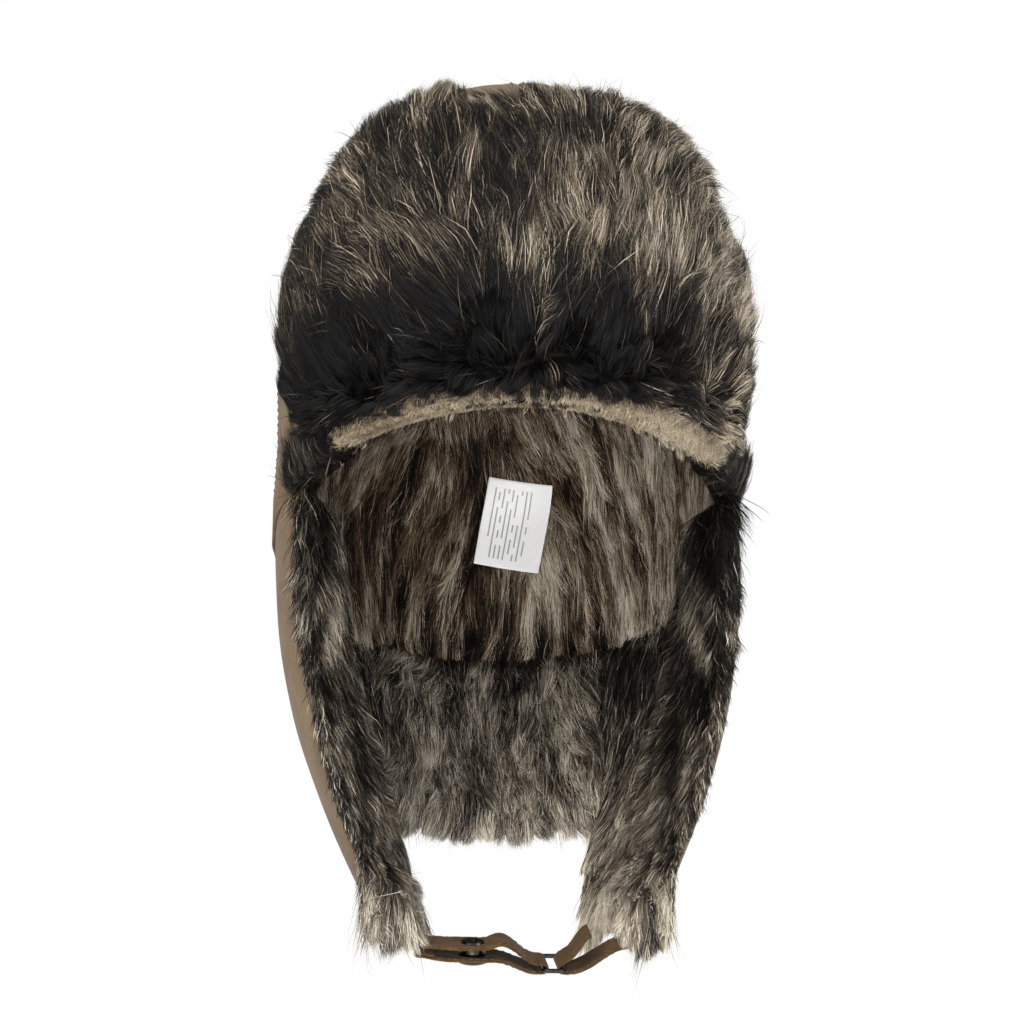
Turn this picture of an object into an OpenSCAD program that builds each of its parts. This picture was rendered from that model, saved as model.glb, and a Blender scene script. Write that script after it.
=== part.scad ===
// Trapper hat: a fur-lined cloth crown, four folding flaps and a chin strap with a snap and a ring.
// +Z is up, the wearer looks along -Y and the wearer's left is +X.
// The origin is the middle of the hat band, level with the brow edge.

/* [Crown] */
// Half of the crown's width over the cloth
crown_half_w = 104; // [92:1:120]
// Half of the crown's length from brow to nape over the cloth
crown_half_l = 112; // [98:1:130]
// Height of the crown above the brow edge
crown_h = 167; // [140:1:190]
// How square the crown's profile is, where 2 is an ellipse
crown_square = 2.9; // [2:0.1:3.4]
// How far the crown's lower edge drops from brow to nape
nape_drop = 72; // [40:1:85]

/* [Layers] */
// Thickness of the outer cloth
cloth_t = 1.5; // [0.8:0.1:2.5]
// Thickness of the crown's fur lining with its pile pressed flat
lining_t = 8; // [5:0.5:12]
// Thickness of the fur on the ear and neck flaps
flap_fur_t = 10; // [6:0.5:14]
// Thickness of the standing fur on the front flap
brow_fur_t = 12; // [8:0.5:16]
// Gap between two layers of one panel
layer_gap = 0.3; // [0.2:0.1:0.6]
// Gap between two panels at a sewn seam or a fold
seam_gap = 0.6; // [0.4:0.1:1]

/* [Front flap] */
// Height of the front flap above the brow edge
front_flap_h = 129; // [100:1:140]
// Half of the angle that the front flap's root takes round the brow
front_flap_half = 56; // [45:1:60]
// How much further round the crown the flap's top corners reach
front_flap_flare = 15; // [5:1:18]
// Share of the flap's height that is rounded off at its corners
front_flap_corner = 0.52; // [0.3:0.02:0.6]
// Clearance between the folded flap and the crown
front_flap_clear = 1.2; // [0.8:0.1:2]

/* [Ear and neck flaps] */
// Angle round from the brow at which an ear flap starts
ear_start = 66; // [60:1:72]
// Half of the neck flap's width, which is also where the ear flaps end
neck_half_w = 50; // [40:1:60]
// Length of the neck flap below the brow edge at its sides
neck_low = 148; // [120:1:165]
// How much lower the neck flap hangs in its middle
neck_belly = 6; // [0:1:12]
// Depth below the brow at which the flaps would close to nothing
skirt_depth = 250; // [235:1:280]
// How far the flaps lean forward at that depth
skirt_lean = 30; // [10:1:45]
// Depth of an ear flap's tip below the brow edge
ear_low = 208; // [195:1:216]
// Half of the gap between the ear flaps at the front of their tips
ear_tip_x = 62; // [54:1:68]
// How far the front of an ear flap's tip lies before the hat's middle
ear_tip_y = 52; // [40:1:60]
// How far an ear flap's middle bulges outward
ear_bulge = 4; // [0:1:10]

/* [Chin strap] */
// Width of the strap
strap_w = 20; // [16:1:22]
// Thickness of the strap
strap_t = 1.2; // [0.8:0.1:1.6]
// Angle at which the strap lies tipped towards the throat
strap_tip = 21; // [5:1:26]
// How far the snap's closing plane lies below the ear flaps
strap_drop = 11; // [10:0.5:14]
// Distance of the snap from the strap's sewn end
snap_in = 35; // [32:1:39]
// Distance of the strap's free end from the snap
tail_out = 25; // [22:1:28]
// Distance of the ring from the sewn end of its loop
ring_in = 42; // [39:1:45]
// How far the ring hangs below the snap's closing plane
ring_dip = 3.2; // [2:0.2:5]
// Length of the doubled hem at the strap's free end
hem_len = 8; // [5:1:10]
// Height of the strap's slack above the snap's closing plane
slack_h = 7.2; // [6:0.2:10]

/* [Snap] */
// Diameter of the snap's domed cap
cap_d = 15; // [12:0.5:17]
// Height of the cap's dome
cap_h = 3.2; // [2:0.1:4]
// Diameter of the socket behind the cap
socket_d = 12; // [10:0.5:13]
// Height of the socket
socket_h = 2.6; // [2.2:0.1:3]
// Diameter of the stud's round head
stud_d = 6.4; // [5:0.1:7]
// Diameter of the stud's flange and of the post behind it
stud_flange_d = 10; // [9:0.5:12]
// Running clearance between the stud and the socket
snap_clear = 0.25; // [0.1:0.05:0.4]

/* [Ring] */
// Thickness of the ring's wire
wire_d = 2; // [1.6:0.1:2.4]
// Length of the ring between the middles of its short sides
ring_l = 23; // [22:0.5:26]
// Width of the ring between the middles of its long sides
ring_w = 8; // [7:0.5:10]
// Radius of the ring's corners at the wire's middle
ring_corner = 1.8; // [1.5:0.1:2.5]

/* [Label] */
// Width of the care label
label_w = 32; // [25:1:40]
// Height of the care label
label_h = 43; // [35:1:50]
// Thickness of the care label
label_t = 0.4; // [0.3:0.1:0.6]
// Angle at which the label hangs out of its seam
label_lean = 9; // [0:1:15]

/* [Hidden] */

cloth_brown = "#75634a";
fur_grey = "#4a4640";
strap_brown = "#635038";
gunmetal = "#3a3936";
satin_white = "#eceae6";

gore_steps = 10;
flap_steps = 12;
lining_off = -(cloth_t + layer_gap);
inside_off = lining_off - lining_t;
// Step for taking a surface's slope
slope_step = 0.002;

// ---- Curves and sheets ----

function lerp(a, b, t) = a + (b - a) * t;
function unit(v) = v / norm(v);
function bezier(p, t) =
    pow(1 - t, 3) * p[0] + 3 * pow(1 - t, 2) * t * p[1] + 3 * (1 - t) * t * t * p[2] + pow(t, 3) * p[3];

// Number of a grid point. A pinched grid ends in one point instead of a row.
function spot(i, j, n, m, pinched) = pinched && j == m ? m * (n + 1) : j * (n + 1) + i;

function skin(form, n, m, pinched) =
    [for (j = [0 : m], i = [0 : pinched && j == m ? 0 : n]) form(i / n, j / m)];

function rim(n, m, pinched) = concat(
    [for (i = [0 : n]) spot(i, 0, n, m, pinched)],
    [for (j = [1 : m]) spot(n, j, n, m, pinched)],
    pinched ? [] : [for (i = [n - 1 : -1 : 0]) spot(i, m, n, m, pinched)],
    [for (j = [m - 1 : -1 : 1]) spot(0, j, n, m, pinched)]);

// A closed sheet between two surfaces, each a function of how far round and how far up a point is.
module sheet(outer, inner, n, m, pinched = false) {
    points = concat(skin(outer, n, m, pinched), skin(inner, n, m, pinched));
    half = len(points) / 2;
    edge = rim(n, m, pinched);
    cells = [for (j = [0 : m - 1], i = [0 : n - 1])
        let (a = spot(i, j, n, m, pinched), b = spot(i + 1, j, n, m, pinched),
             c = spot(i + 1, j + 1, n, m, pinched), d = spot(i, j + 1, n, m, pinched))
        each c == d ? [[a, c, b]] : [[a, c, b], [a, d, c]]];
    lining = [for (f = cells) [f[0] + half, f[2] + half, f[1] + half]];
    sides = [for (k = [0 : len(edge) - 1])
        let (p = edge[k], q = edge[(k + 1) % len(edge)])
        each [[p, q, q + half], [p, q + half, p + half]]];
    polyhedron(points = points, faces = concat(cells, lining, sides), convexity = 6);
}

// ---- Crown and its lining ----

// Height of the crown's lower edge at an angle round from the brow
function edge_z(turn) = -nape_drop * (1 - cos(turn)) / 2;

// Point of the crown, grown by off, at a share of the way up from its edge to its top
function crown_point(turn, climb, off) =
    let (reach = pow(cos(90 * climb), 2 / crown_square), rise = pow(sin(90 * climb), 2 / crown_square))
    [(crown_half_w + off) * reach * sin(turn), -(crown_half_l + off) * reach * cos(turn),
     lerp(edge_z(turn), crown_h + off, rise)];

// Point of the crown, grown by off, at a given height
function crown_level(turn, z, off) =
    let (rise = max(0, z - edge_z(turn)) / (crown_h + off - edge_z(turn)),
         reach = pow(1 - pow(rise, crown_square), 1 / crown_square))
    [(crown_half_w + off) * reach * sin(turn), -(crown_half_l + off) * reach * cos(turn), z];

// One quarter of the crown between two offsets, moved out by half the seam.
module gore(start, outer_off, inner_off) {
    middle = start + 45;
    translate([sign(sin(middle)), -sign(cos(middle)), 0] * seam_gap / 2)
        sheet(function (u, v) crown_point(start + 90 * u, v, outer_off),
              function (u, v) crown_point(start + 90 * u, v, inner_off),
              gore_steps, gore_steps, pinched = true);
}

module crown_gore(start) color(cloth_brown) gore(start, 0, -cloth_t);
module lining_gore(start) color(fur_grey) gore(start, lining_off, inside_off);

// ---- Front flap ----

function front_flap_point(u, v, off) =
    let (side = 2 * u - 1, turn = side * (front_flap_half + front_flap_flare * v),
         top = front_flap_h * (1 - front_flap_corner * pow(side, 4)))
    crown_level(turn, lerp(edge_z(turn), top, v), off);

flap_back = front_flap_clear;
flap_face = flap_back + cloth_t;
flap_root = flap_face + layer_gap;

// The standing fur thins out towards the flap's sides and top.
fur_side_taper = 0.6;
fur_top_taper = 0.5;
function brow_fur_off(u, v) =
    flap_root + brow_fur_t * (1 - fur_side_taper * pow(2 * u - 1, 6)) * (1 - fur_top_taper * pow(v, 5));

module front_flap(back_off, face_off)
    sheet(function (u, v) front_flap_point(u, v, face_off(u, v)),
          function (u, v) front_flap_point(u, v, back_off), flap_steps + 4, flap_steps - 2);
module front_flap_shell() color(cloth_brown) front_flap(flap_back, function (u, v) flap_face);
module front_flap_fur() color(fur_grey) front_flap(flap_root, function (u, v) brow_fur_off(u, v));

// ---- Skirt: ear flaps and neck flap ----

// The skirt goes on down from the crown's edge and closes in like the end of an egg.
skirt_square = 2.5;
function skirt_share(z) = pow(1 - pow(-z / skirt_depth, skirt_square), 1 / skirt_square);
function skirt_y(x, z) =
    crown_half_l * skirt_share(z) * sqrt(1 - pow(x / (crown_half_w * skirt_share(z)), 2))
    - skirt_lean * pow(z / skirt_depth, 2);

// A layer of a flap lies depth inside its form. Towards a side seam it is cut square to the hat,
// and towards the crown's edge it is cut level: square gives both shares, each from 0 to 1.
function inward(form, depth, square) = function (u, v)
    let (e = slope_step, s = square(u, v),
         n = unit(cross(form(u + e, v) - form(u - e, v), form(u, v + e) - form(u, v - e))))
    form(u, v) - depth * unit(lerp([n[0], n[1], n[2] * (1 - s[1])], [0, 1, 0], s[0]));

module flap_layers(form, square, from, to, n, m)
    sheet(inward(form, from, square), inward(form, to, square), n, m);

// Height of the crown's edge at the back, at a distance from the middle
function nape_edge_z(x) = edge_z(180 - asin(x / crown_half_w)) - seam_gap;

neck_form = function (u, v)
    let (x = neck_half_w * (1 - 2 * u), hem = -neck_low - neck_belly * (1 - pow(1 - 2 * u, 2)),
         z = lerp(hem, nape_edge_z(x), v))
    [x, skirt_y(x, z), z];
neck_square = function (u, v) [pow(2 * u - 1, 4), pow(v, 4)];

module neck_flap_shell() color(cloth_brown)
    flap_layers(neck_form, neck_square, 0, cloth_t, flap_steps, flap_steps - 4);
module neck_flap_fur() color(fur_grey)
    flap_layers(neck_form, neck_square, cloth_t + layer_gap, cloth_t + layer_gap + flap_fur_t,
                flap_steps, flap_steps - 4);

// The left ear flap lies between four edges: the crown's, the hem, the front and the neck seam.
ear_seam_x = neck_half_w + seam_gap;
ear_end = 180 - asin(ear_seam_x / crown_half_w);
function ear_top(u) =
    let (turn = lerp(ear_start, ear_end, u))
    [crown_half_w * sin(turn), -crown_half_l * cos(turn), edge_z(turn) - seam_gap];
ear_corner = ear_top(0);
ear_front_tip = [ear_tip_x, -ear_tip_y, -ear_low];
ear_foot_z = -neck_low - 7;
ear_rear_foot = [ear_seam_x, skirt_y(ear_seam_x, ear_foot_z), ear_foot_z];
// The hem and the front edge are curves, drawn out at each end by these
hem_front_pull = [-9, 22, -28];
hem_rear_pull = [-20, -36, -48];
front_low_pull = [20, -6, 50];
front_high_pull = [7, -8, -75];
function ear_hem(u) = bezier([ear_front_tip, ear_front_tip + hem_front_pull,
                              ear_rear_foot + hem_rear_pull, ear_rear_foot], u);
function ear_front(v) = bezier([ear_front_tip, ear_front_tip + front_low_pull,
                                ear_corner + front_high_pull, ear_corner], v);
function ear_rear(v) =
    let (z = lerp(ear_foot_z, ear_top(1)[2], v))
    [ear_seam_x, skirt_y(ear_seam_x, z), z];
// How fast the hem's inward curve dies away above it, so that the flap clears the neck flap
hem_fade = 6;
ear_form = function (u, v)
    let (tuck = ear_hem(u)[0] - lerp(ear_front_tip, ear_rear_foot, u)[0],
         bulge = ear_bulge * 16 * u * (1 - u) * v * (1 - v))
    lerp(ear_hem(u), ear_top(u), v) + lerp(ear_front(v), ear_rear(v), u)
    - lerp(lerp(ear_front_tip, ear_rear_foot, u), lerp(ear_corner, ear_top(1), u), v)
    + [bulge + tuck * (pow(1 - v, hem_fade) - (1 - v)), 0, 0];
ear_square = function (u, v) [pow(u, 4), pow(v, 4)];

module ear_flap_shell() color(cloth_brown)
    flap_layers(ear_form, ear_square, 0, cloth_t, flap_steps, flap_steps);
module ear_flap_fur() color(fur_grey)
    flap_layers(ear_form, ear_square, cloth_t + layer_gap, cloth_t + layer_gap + flap_fur_t,
                flap_steps, flap_steps);

// ---- Places on the chin strap, drawn side-on in the plane in which its snap closes ----

// The strap and the ring's loop are sewn in under the ear flaps' tips, where their fur hangs lowest.
tip_share = 0.16;
tip_low = ear_hem(tip_share);
root_in = 1.5;
root_x = tip_low[0] - cloth_t - layer_gap - root_in;
root_drop = layer_gap + strap_t / 2 + strap_w / 2 * sin(strap_tip);
root_rise = (strap_drop - root_drop) / cos(strap_tip);
strap_y = ear_tip_y - strap_w / 2;
strap_low = strap_drop - tip_low[2];
snap_x = snap_in - root_x;
ring_x = root_x - ring_in;
ring_z = -ring_dip;
far_bar_x = ring_x + ring_w;

// The cloth turns round the ring's wire at this radius, and its ends reach this far past the wire.
turn_r = wire_d / 2 + layer_gap + strap_t / 2;
turn_reach = 1.4;
turn_end_x = ring_x - wire_d / 2 - turn_reach;
// The plies end just outside the circle that the turn sweeps when the ring swings.
sweep_clear = 0.4;
sweep_r = norm([far_bar_x - turn_end_x, turn_r + strap_t / 2]);
ply_end_x = far_bar_x - sweep_r - sweep_clear;

// The plies lie flat round the snap, which holds them this far apart.
plate_t = 0.6;
stud_lift = 1.4;
snap_stack = socket_h + stud_lift + strap_t;
flat_half = stud_flange_d / 2 + 1;
slack_run = 5;
rivet_d = 3.4;
rivet_fit = 0.1;

// ---- Chin strap and the ring's loop ----

function ease(t) = t * t * (3 - 2 * t);
function wave(p, q, n) = [for (i = [0 : n]) [lerp(p[0], q[0], i / n), lerp(p[1], q[1], ease(i / n))]];
function heading(path, i) = unit(path[min(i + 1, len(path) - 1)] - path[max(i - 1, 0)]);
function beside(path, d) = [for (i = [0 : len(path) - 1])
    let (h = heading(path, i)) path[i] + d * [-h[1], h[0]]];
function reverse(list) = [for (i = [len(list) - 1 : -1 : 0]) list[i]];
function arc(x, from, step, to) =
    [for (a = [from : step : to]) [x + turn_r * cos(a), ring_z + turn_r * sin(a)]];

module in_strap_plane()
    translate([0, -strap_y, -strap_low]) rotate([strap_tip, 0, 0]) children();

// A strap that follows a side-on path. Its thickness lies on both sides of the path.
module band(path)
    rotate([90, 0, 0]) translate([0, 0, -strap_w / 2]) linear_extrude(strap_w)
        polygon(concat(beside(path, strap_t / 2), reverse(beside(path, -strap_t / 2))));

module holed_band(path) difference() {
    band(path);
    translate([snap_x, 0, 0]) cylinder(h = strap_low, d = rivet_d, center = true, $fn = 24);
}

tail_end = [snap_x - tail_out, 2];
tail_path = concat(
    wave(tail_end, [snap_x - flat_half - 3, 0], 4),
    wave([snap_x + flat_half + 3, 0], [ply_end_x, ring_z - turn_r], 5));
main_root = [-root_x, root_rise];
slack = [snap_x + flat_half + slack_run, slack_h];
main_path = concat(
    wave(main_root, [snap_x - flat_half, snap_stack], 6),
    wave([snap_x + flat_half, snap_stack], slack, 4),
    wave(slack + [1, 0], [ply_end_x, ring_z + turn_r], 6));

module chin_strap() color(strap_brown) in_strap_plane() holed_band(main_path);
module strap_tail() color(strap_brown) in_strap_plane() {
    holed_band(tail_path);
    translate([0, 0, strap_t]) band([for (p = tail_path) if (p[0] < tail_end[0] + hem_len) p]);
}
module strap_turn() color(strap_brown) in_strap_plane()
    band(concat([[turn_end_x, ring_z - turn_r]], arc(ring_x, -90, 15, 90), [[turn_end_x, ring_z + turn_r]]));

// The loop's lower ply starts under the left ear flap, goes round the ring and back up beside it.
loop_low_end = [root_x, root_rise];
loop_high_end = [root_x - 22, root_rise + 4.5];
module ring_loop() color(strap_brown) in_strap_plane() band(concat(
    wave(loop_low_end, [far_bar_x + 3, ring_z - turn_r], 6),
    arc(far_bar_x, -90, -15, -240),
    wave([far_bar_x + 2, ring_z + turn_r + 2], loop_high_end, 5)));

// ---- Ring ----

module wire_side(length)
    translate([0, 0, -length / 2]) cylinder(h = length, d = wire_d, $fn = 32);
module ring_elbow()
    rotate_extrude(angle = 90, $fn = 48) translate([ring_corner, 0]) circle(d = wire_d, $fn = 32);

module strap_ring() color(gunmetal) in_strap_plane() translate([ring_x + ring_w / 2, 0, ring_z]) {
    for (s = [-1, 1]) {
        translate([s * ring_w / 2, 0, 0]) rotate([90, 0, 0]) wire_side(ring_l - 2 * ring_corner);
        translate([0, s * ring_l / 2, 0]) rotate([0, 90, 0]) wire_side(ring_w - 2 * ring_corner);
    }
    for (s = [-1, 1], q = [-1, 1])
        translate([s * (ring_w / 2 - ring_corner), q * (ring_l / 2 - ring_corner), 0])
            rotate([0, 0, s > 0 ? (q > 0 ? 0 : 270) : (q > 0 ? 90 : 180)]) ring_elbow();
}

// ---- Snap: cap and socket on the tail, stud and post on the strap ----

module at_snap(z) in_strap_plane() translate([snap_x, 0, z]) children();
module turned(outline) rotate_extrude($fn = 64) polygon(outline);
cap_rim = 0.7;
shank_r = rivet_d / 2 - rivet_fit;
plate_fillet = 0.3;
socket_wall = 0.8;
socket_bore = stud_d / 2 + snap_clear;
// The stud's head stops this far above the socket's floor.
stud_gap = 0.4;
stud_h = socket_h + stud_lift - plate_t - stud_gap;
stud_head = 0.8;
stud_neck_r = stud_d / 2 - 0.5;
post_rim = 0.8;
post_dimple = 1.6;

module snap_cap() color(gunmetal) at_snap(-strap_t / 2) turned(concat(
    [[0, strap_t], [shank_r, strap_t], [shank_r, 0], [cap_d / 2, 0]],
    [for (a = [0 : 10 : 80]) [cap_d / 2 * cos(a), -cap_rim - (cap_h - cap_rim) * sin(a)]],
    [[0, -cap_h]]));
module snap_socket() color(gunmetal) at_snap(strap_t / 2) turned([
    [0, 0], [socket_d / 2, 0], [socket_d / 2, plate_t],
    [socket_bore + socket_wall + plate_fillet, plate_t + plate_fillet],
    [socket_bore + socket_wall, socket_h], [socket_bore, socket_h], [socket_bore, plate_t], [0, plate_t]]);
module snap_stud() color(gunmetal) at_snap(snap_stack - strap_t / 2) turned([
    [0, 0], [stud_flange_d / 2, 0], [stud_flange_d / 2, -plate_t], [stud_neck_r, -plate_t - plate_fillet],
    [stud_neck_r, -stud_h + 2 * stud_head], [stud_d / 2, -stud_h + stud_head],
    [stud_neck_r, -stud_h], [0, -stud_h]]);
module snap_post() color(gunmetal) at_snap(snap_stack + strap_t / 2) turned([
    [0, -strap_t], [shank_r, -strap_t], [shank_r, 0], [stud_flange_d / 2, 0],
    [stud_flange_d / 2 - post_rim / 2, post_rim], [post_dimple + post_rim / 2, post_rim],
    [post_dimple, post_rim / 2], [0, post_rim / 2]]);

// ---- Care label on the back of the lining, its side caught in the middle seam ----

label_x = 12;
label_z = -9;
function label_point(u, v, off) =
    let (across = label_w * (0.5 - u), up = label_h * (v - 0.5),
         x = label_x + across * cos(label_lean) + up * sin(label_lean),
         z = label_z + up * cos(label_lean) - across * sin(label_lean))
    crown_level(180 - asin(x / (crown_half_w + off)), z, off);
module care_label() color(satin_white)
    sheet(function (u, v) label_point(u, v, inside_off - layer_gap),
          function (u, v) label_point(u, v, inside_off - layer_gap - label_t), 6, 6);

crown_gore(0);  // crown_front_left
crown_gore(90);  // crown_back_left
crown_gore(180);  // crown_back_right
crown_gore(270);  // crown_front_right
lining_gore(0);  // lining_front_left
lining_gore(90);  // lining_back_left
lining_gore(180);  // lining_back_right
lining_gore(270);  // lining_front_right
front_flap_shell();
front_flap_fur();
neck_flap_shell();
neck_flap_fur();
ear_flap_shell();  // left_ear_flap_shell
ear_flap_fur();  // left_ear_flap_fur
mirror([1, 0, 0]) ear_flap_shell();  // right_ear_flap_shell
mirror([1, 0, 0]) ear_flap_fur();  // right_ear_flap_fur
chin_strap();
strap_tail();
strap_turn();
ring_loop();
strap_ring();
snap_cap();
snap_socket();
snap_stud();
snap_post();
care_label();
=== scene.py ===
import math

import bpy
import numpy as np
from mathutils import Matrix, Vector, kdtree, noise
from mathutils.bvhtree import BVHTree


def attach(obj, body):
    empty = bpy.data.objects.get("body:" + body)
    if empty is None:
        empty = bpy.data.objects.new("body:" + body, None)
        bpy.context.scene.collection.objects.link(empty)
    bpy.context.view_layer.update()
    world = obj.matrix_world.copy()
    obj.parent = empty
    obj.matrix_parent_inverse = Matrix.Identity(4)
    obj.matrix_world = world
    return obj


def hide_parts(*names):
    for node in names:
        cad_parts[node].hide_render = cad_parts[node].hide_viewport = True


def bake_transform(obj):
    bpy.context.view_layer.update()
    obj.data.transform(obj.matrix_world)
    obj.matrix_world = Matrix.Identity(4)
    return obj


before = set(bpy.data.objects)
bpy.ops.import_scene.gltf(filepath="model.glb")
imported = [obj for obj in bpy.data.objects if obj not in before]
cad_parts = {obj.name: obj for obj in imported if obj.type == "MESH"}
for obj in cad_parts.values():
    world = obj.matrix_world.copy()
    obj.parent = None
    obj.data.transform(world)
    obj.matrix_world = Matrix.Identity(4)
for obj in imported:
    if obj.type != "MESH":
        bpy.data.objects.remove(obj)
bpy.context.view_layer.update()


# ---- Camera ----
# A long lens 1.6 m in front of the hat, a little below it and to its right side, so that the
# view goes up into the lining. The hat's middle shows a little left of and below the picture's.
VIEW_AZIMUTH = math.radians(-5.5)
VIEW_ELEVATION = math.radians(-12)
VIEW_DISTANCE = 1.6
AIM = Vector((0, 0, -0.028))
MM_PER_PIXEL = 0.452
PICTURE = 1024
LENS_SHIFT = (3 / 512, 4 / 512)         # right and up, in parts of the picture's width

camera_data = bpy.data.cameras.new("studio_camera")
camera_data.sensor_fit = "AUTO"
camera_data.sensor_width = 36
camera_data.lens = 36 * VIEW_DISTANCE * 1000 / MM_PER_PIXEL / PICTURE
camera_data.shift_x, camera_data.shift_y = LENS_SHIFT
camera = bpy.data.objects.new("studio_camera", camera_data)
bpy.context.scene.collection.objects.link(camera)
back = Vector((math.sin(VIEW_AZIMUTH) * math.cos(VIEW_ELEVATION),
               -math.cos(VIEW_AZIMUTH) * math.cos(VIEW_ELEVATION), math.sin(VIEW_ELEVATION)))
camera.location = AIM + back * VIEW_DISTANCE
camera.rotation_mode = "QUATERNION"
camera.rotation_quaternion = (-back).to_track_quat("-Z", "Y")
bpy.context.scene.camera = camera

# Where named things show, in pixels of the photograph's 1024 x 1024 frame.
POINTS = {
    "left": (279, None), "right": (752, None), "top": (None, 85), "bottom": (None, 969),
    "care_label": (513, 525), "label_top_left": (490, 477), "label_bottom_right": (538, 573),
    "brow_middle": (506, 406), "snap_cap": (472, 964), "strap_ring": (553, 964), "neck_hem": (510, 833),
    "right_ear_tip": (402, 936), "left_ear_tip": (626, 937), "crown_top": (517, 83),
}


def way_through(x, y):
    """The way of the ray from the camera through a place in the picture."""
    ray = Vector((x - PICTURE / 2 + camera_data.shift_x * PICTURE,
                  PICTURE / 2 - y + camera_data.shift_y * PICTURE,
                  -PICTURE * camera_data.lens / camera_data.sensor_width))
    ray.rotate(camera.rotation_quaternion)
    return ray.normalized()


def tree_of(pieces):
    """The faces of some pieces, for rays."""
    verts, faces = [], []
    for piece in pieces:
        faces += [[len(verts) + k for k in face.vertices] for face in piece.data.polygons]
        verts += [vert.co.copy() for vert in piece.data.vertices]
    return BVHTree.FromPolygons(verts, faces)


def placed(name, carriers):
    """Where the ray through a named point meets its carriers, or their place nearest to it."""
    tree, way = tree_of(carriers), way_through(*POINTS[name])
    hit = tree.ray_cast(camera.location, way)[0]
    if hit is None:
        near = [tree.find_nearest(camera.location + way * mm / 1000) for mm in range(1300, 1900, 2)]
        hit = min(near, key=lambda found: found[3])[0]
    return hit


def in_picture(spots):
    """Where places of the scene show in the picture, in pixels."""
    turned = np.array(camera.rotation_quaternion.to_matrix())
    seen = (np.asarray(spots) - np.array(camera.location)) @ turned
    over = PICTURE * camera_data.lens / camera_data.sensor_width / -seen[:, 2]
    return np.stack([PICTURE / 2 - camera_data.shift_x * PICTURE + seen[:, 0] * over,
                     PICTURE / 2 + camera_data.shift_y * PICTURE - seen[:, 1] * over], -1)


# ---- Crown ----
# Four gores of brushed polyester, sewn together from the band up to the middle of the top, with a
# row of topstitching on each side of a seam. The seams pull the cloth in, so it puckers beside them.
CROWN_W, CROWN_L, CROWN_H = 0.104, 0.112, 0.167
CROWN_SQUARE = 2.9
NAPE_DROP = 0.072
CLOTH_T, LAYER_GAP, SEAM_GAP = 0.0015, 0.0003, 0.0006
SHELL_BROWN = "#645036"
SHELL_WORN = "#756043"
SHELL_SHADE = "#503f29"


def edge_z(turn):
    """The height of the crown's edge, which falls from the brow to the nape."""
    return -NAPE_DROP * (1 - np.cos(turn)) / 2


def crown_point(turn, climb, off):
    """A point of the crown at a turn and a climb from its edge (0) to its middle (1)."""
    reach = np.cos(np.pi / 2 * climb).clip(0) ** (2 / CROWN_SQUARE)
    rise = np.sin(np.pi / 2 * climb).clip(0) ** (2 / CROWN_SQUARE)
    low = edge_z(turn)
    return np.stack([(CROWN_W + off) * reach * np.sin(turn), -(CROWN_L + off) * reach * np.cos(turn),
                     low + (CROWN_H + off - low) * rise], -1)


def crown_level(turn, z, off):
    """A point of the crown at a turn and a height."""
    low = edge_z(turn)
    rise = (z - low).clip(0) / (CROWN_H + off - low)
    reach = (1 - rise.clip(0, 0.999) ** CROWN_SQUARE) ** (1 / CROWN_SQUARE)
    return np.stack([(CROWN_W + off) * reach * np.sin(turn), -(CROWN_L + off) * reach * np.cos(turn),
                     z + 0 * turn], -1)


def unit(v):
    return v / np.maximum(np.linalg.norm(v, axis=-1, keepdims=True), 1e-12)


def grid(n, m):
    """The shares across and up of a panel's grid points."""
    return np.meshgrid(np.linspace(0, 1, n), np.linspace(0, 1, m), indexing="ij")


def facing(points, towards):
    """Unit normals of a grid of points, on the side that looks along towards in the grid's middle."""
    normal = unit(np.cross(np.gradient(points, axis=0), np.gradient(points, axis=1)))
    middle = normal[normal.shape[0] // 2, normal.shape[1] // 2]
    return normal if middle @ np.array(towards) > 0 else -normal


def lumps(points, size, seed):
    """Smooth noise from -1 to 1 at each point, with features of that size."""
    shift = Vector((seed * 3.1, seed * 1.7, seed * 5.3))
    flat = points.reshape(-1, 3) / size
    return np.array([noise.noise(Vector(p) + shift) for p in flat]).reshape(points.shape[:-1])


def mesh_piece(name, verts, faces):
    mesh = bpy.data.meshes.new(name)
    mesh.from_pydata(np.asarray(verts).reshape(-1, 3).tolist(), [], faces)
    mesh.validate()
    mesh.shade_smooth()
    piece = bpy.data.objects.new(name, mesh)
    bpy.context.scene.collection.objects.link(piece)
    return piece


def fitted(piece, material, node):
    """Gives a piece its material and hides the CAD's node that it stands for."""
    piece.data.materials.append(material)
    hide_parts(node)


def panel_piece(name, face, reverse):
    """A closed panel of cloth between two grids of points."""
    n, m = face.shape[:2]
    half = n * m
    at = lambda i, j: i * m + j
    rim = ([at(i, 0) for i in range(n)] + [at(n - 1, j) for j in range(1, m)]
           + [at(i, m - 1) for i in range(n - 2, -1, -1)] + [at(0, j) for j in range(m - 2, 0, -1)])
    cells = [(at(i, j), at(i + 1, j), at(i + 1, j + 1), at(i, j + 1))
             for i in range(n - 1) for j in range(m - 1)]
    faces = cells + [tuple(half + k for k in reversed(f)) for f in cells]
    faces += [(p, half + p, half + q, q) for p, q in zip(rim, rim[1:] + rim[:1])]
    piece = mesh_piece(name, np.concatenate([face.reshape(-1, 3), reverse.reshape(-1, 3)]), faces)
    layer = piece.data.uv_layers.new(name="cut")
    across, up = grid(n, m)
    spots = np.concatenate([np.stack([across, up], -1).reshape(-1, 2)] * 2)
    corners = np.zeros(len(piece.data.loops), np.int32)
    piece.data.loops.foreach_get("vertex_index", corners)
    layer.data.foreach_set("uv", spots[corners].astype(np.float32).ravel())
    return piece


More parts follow.
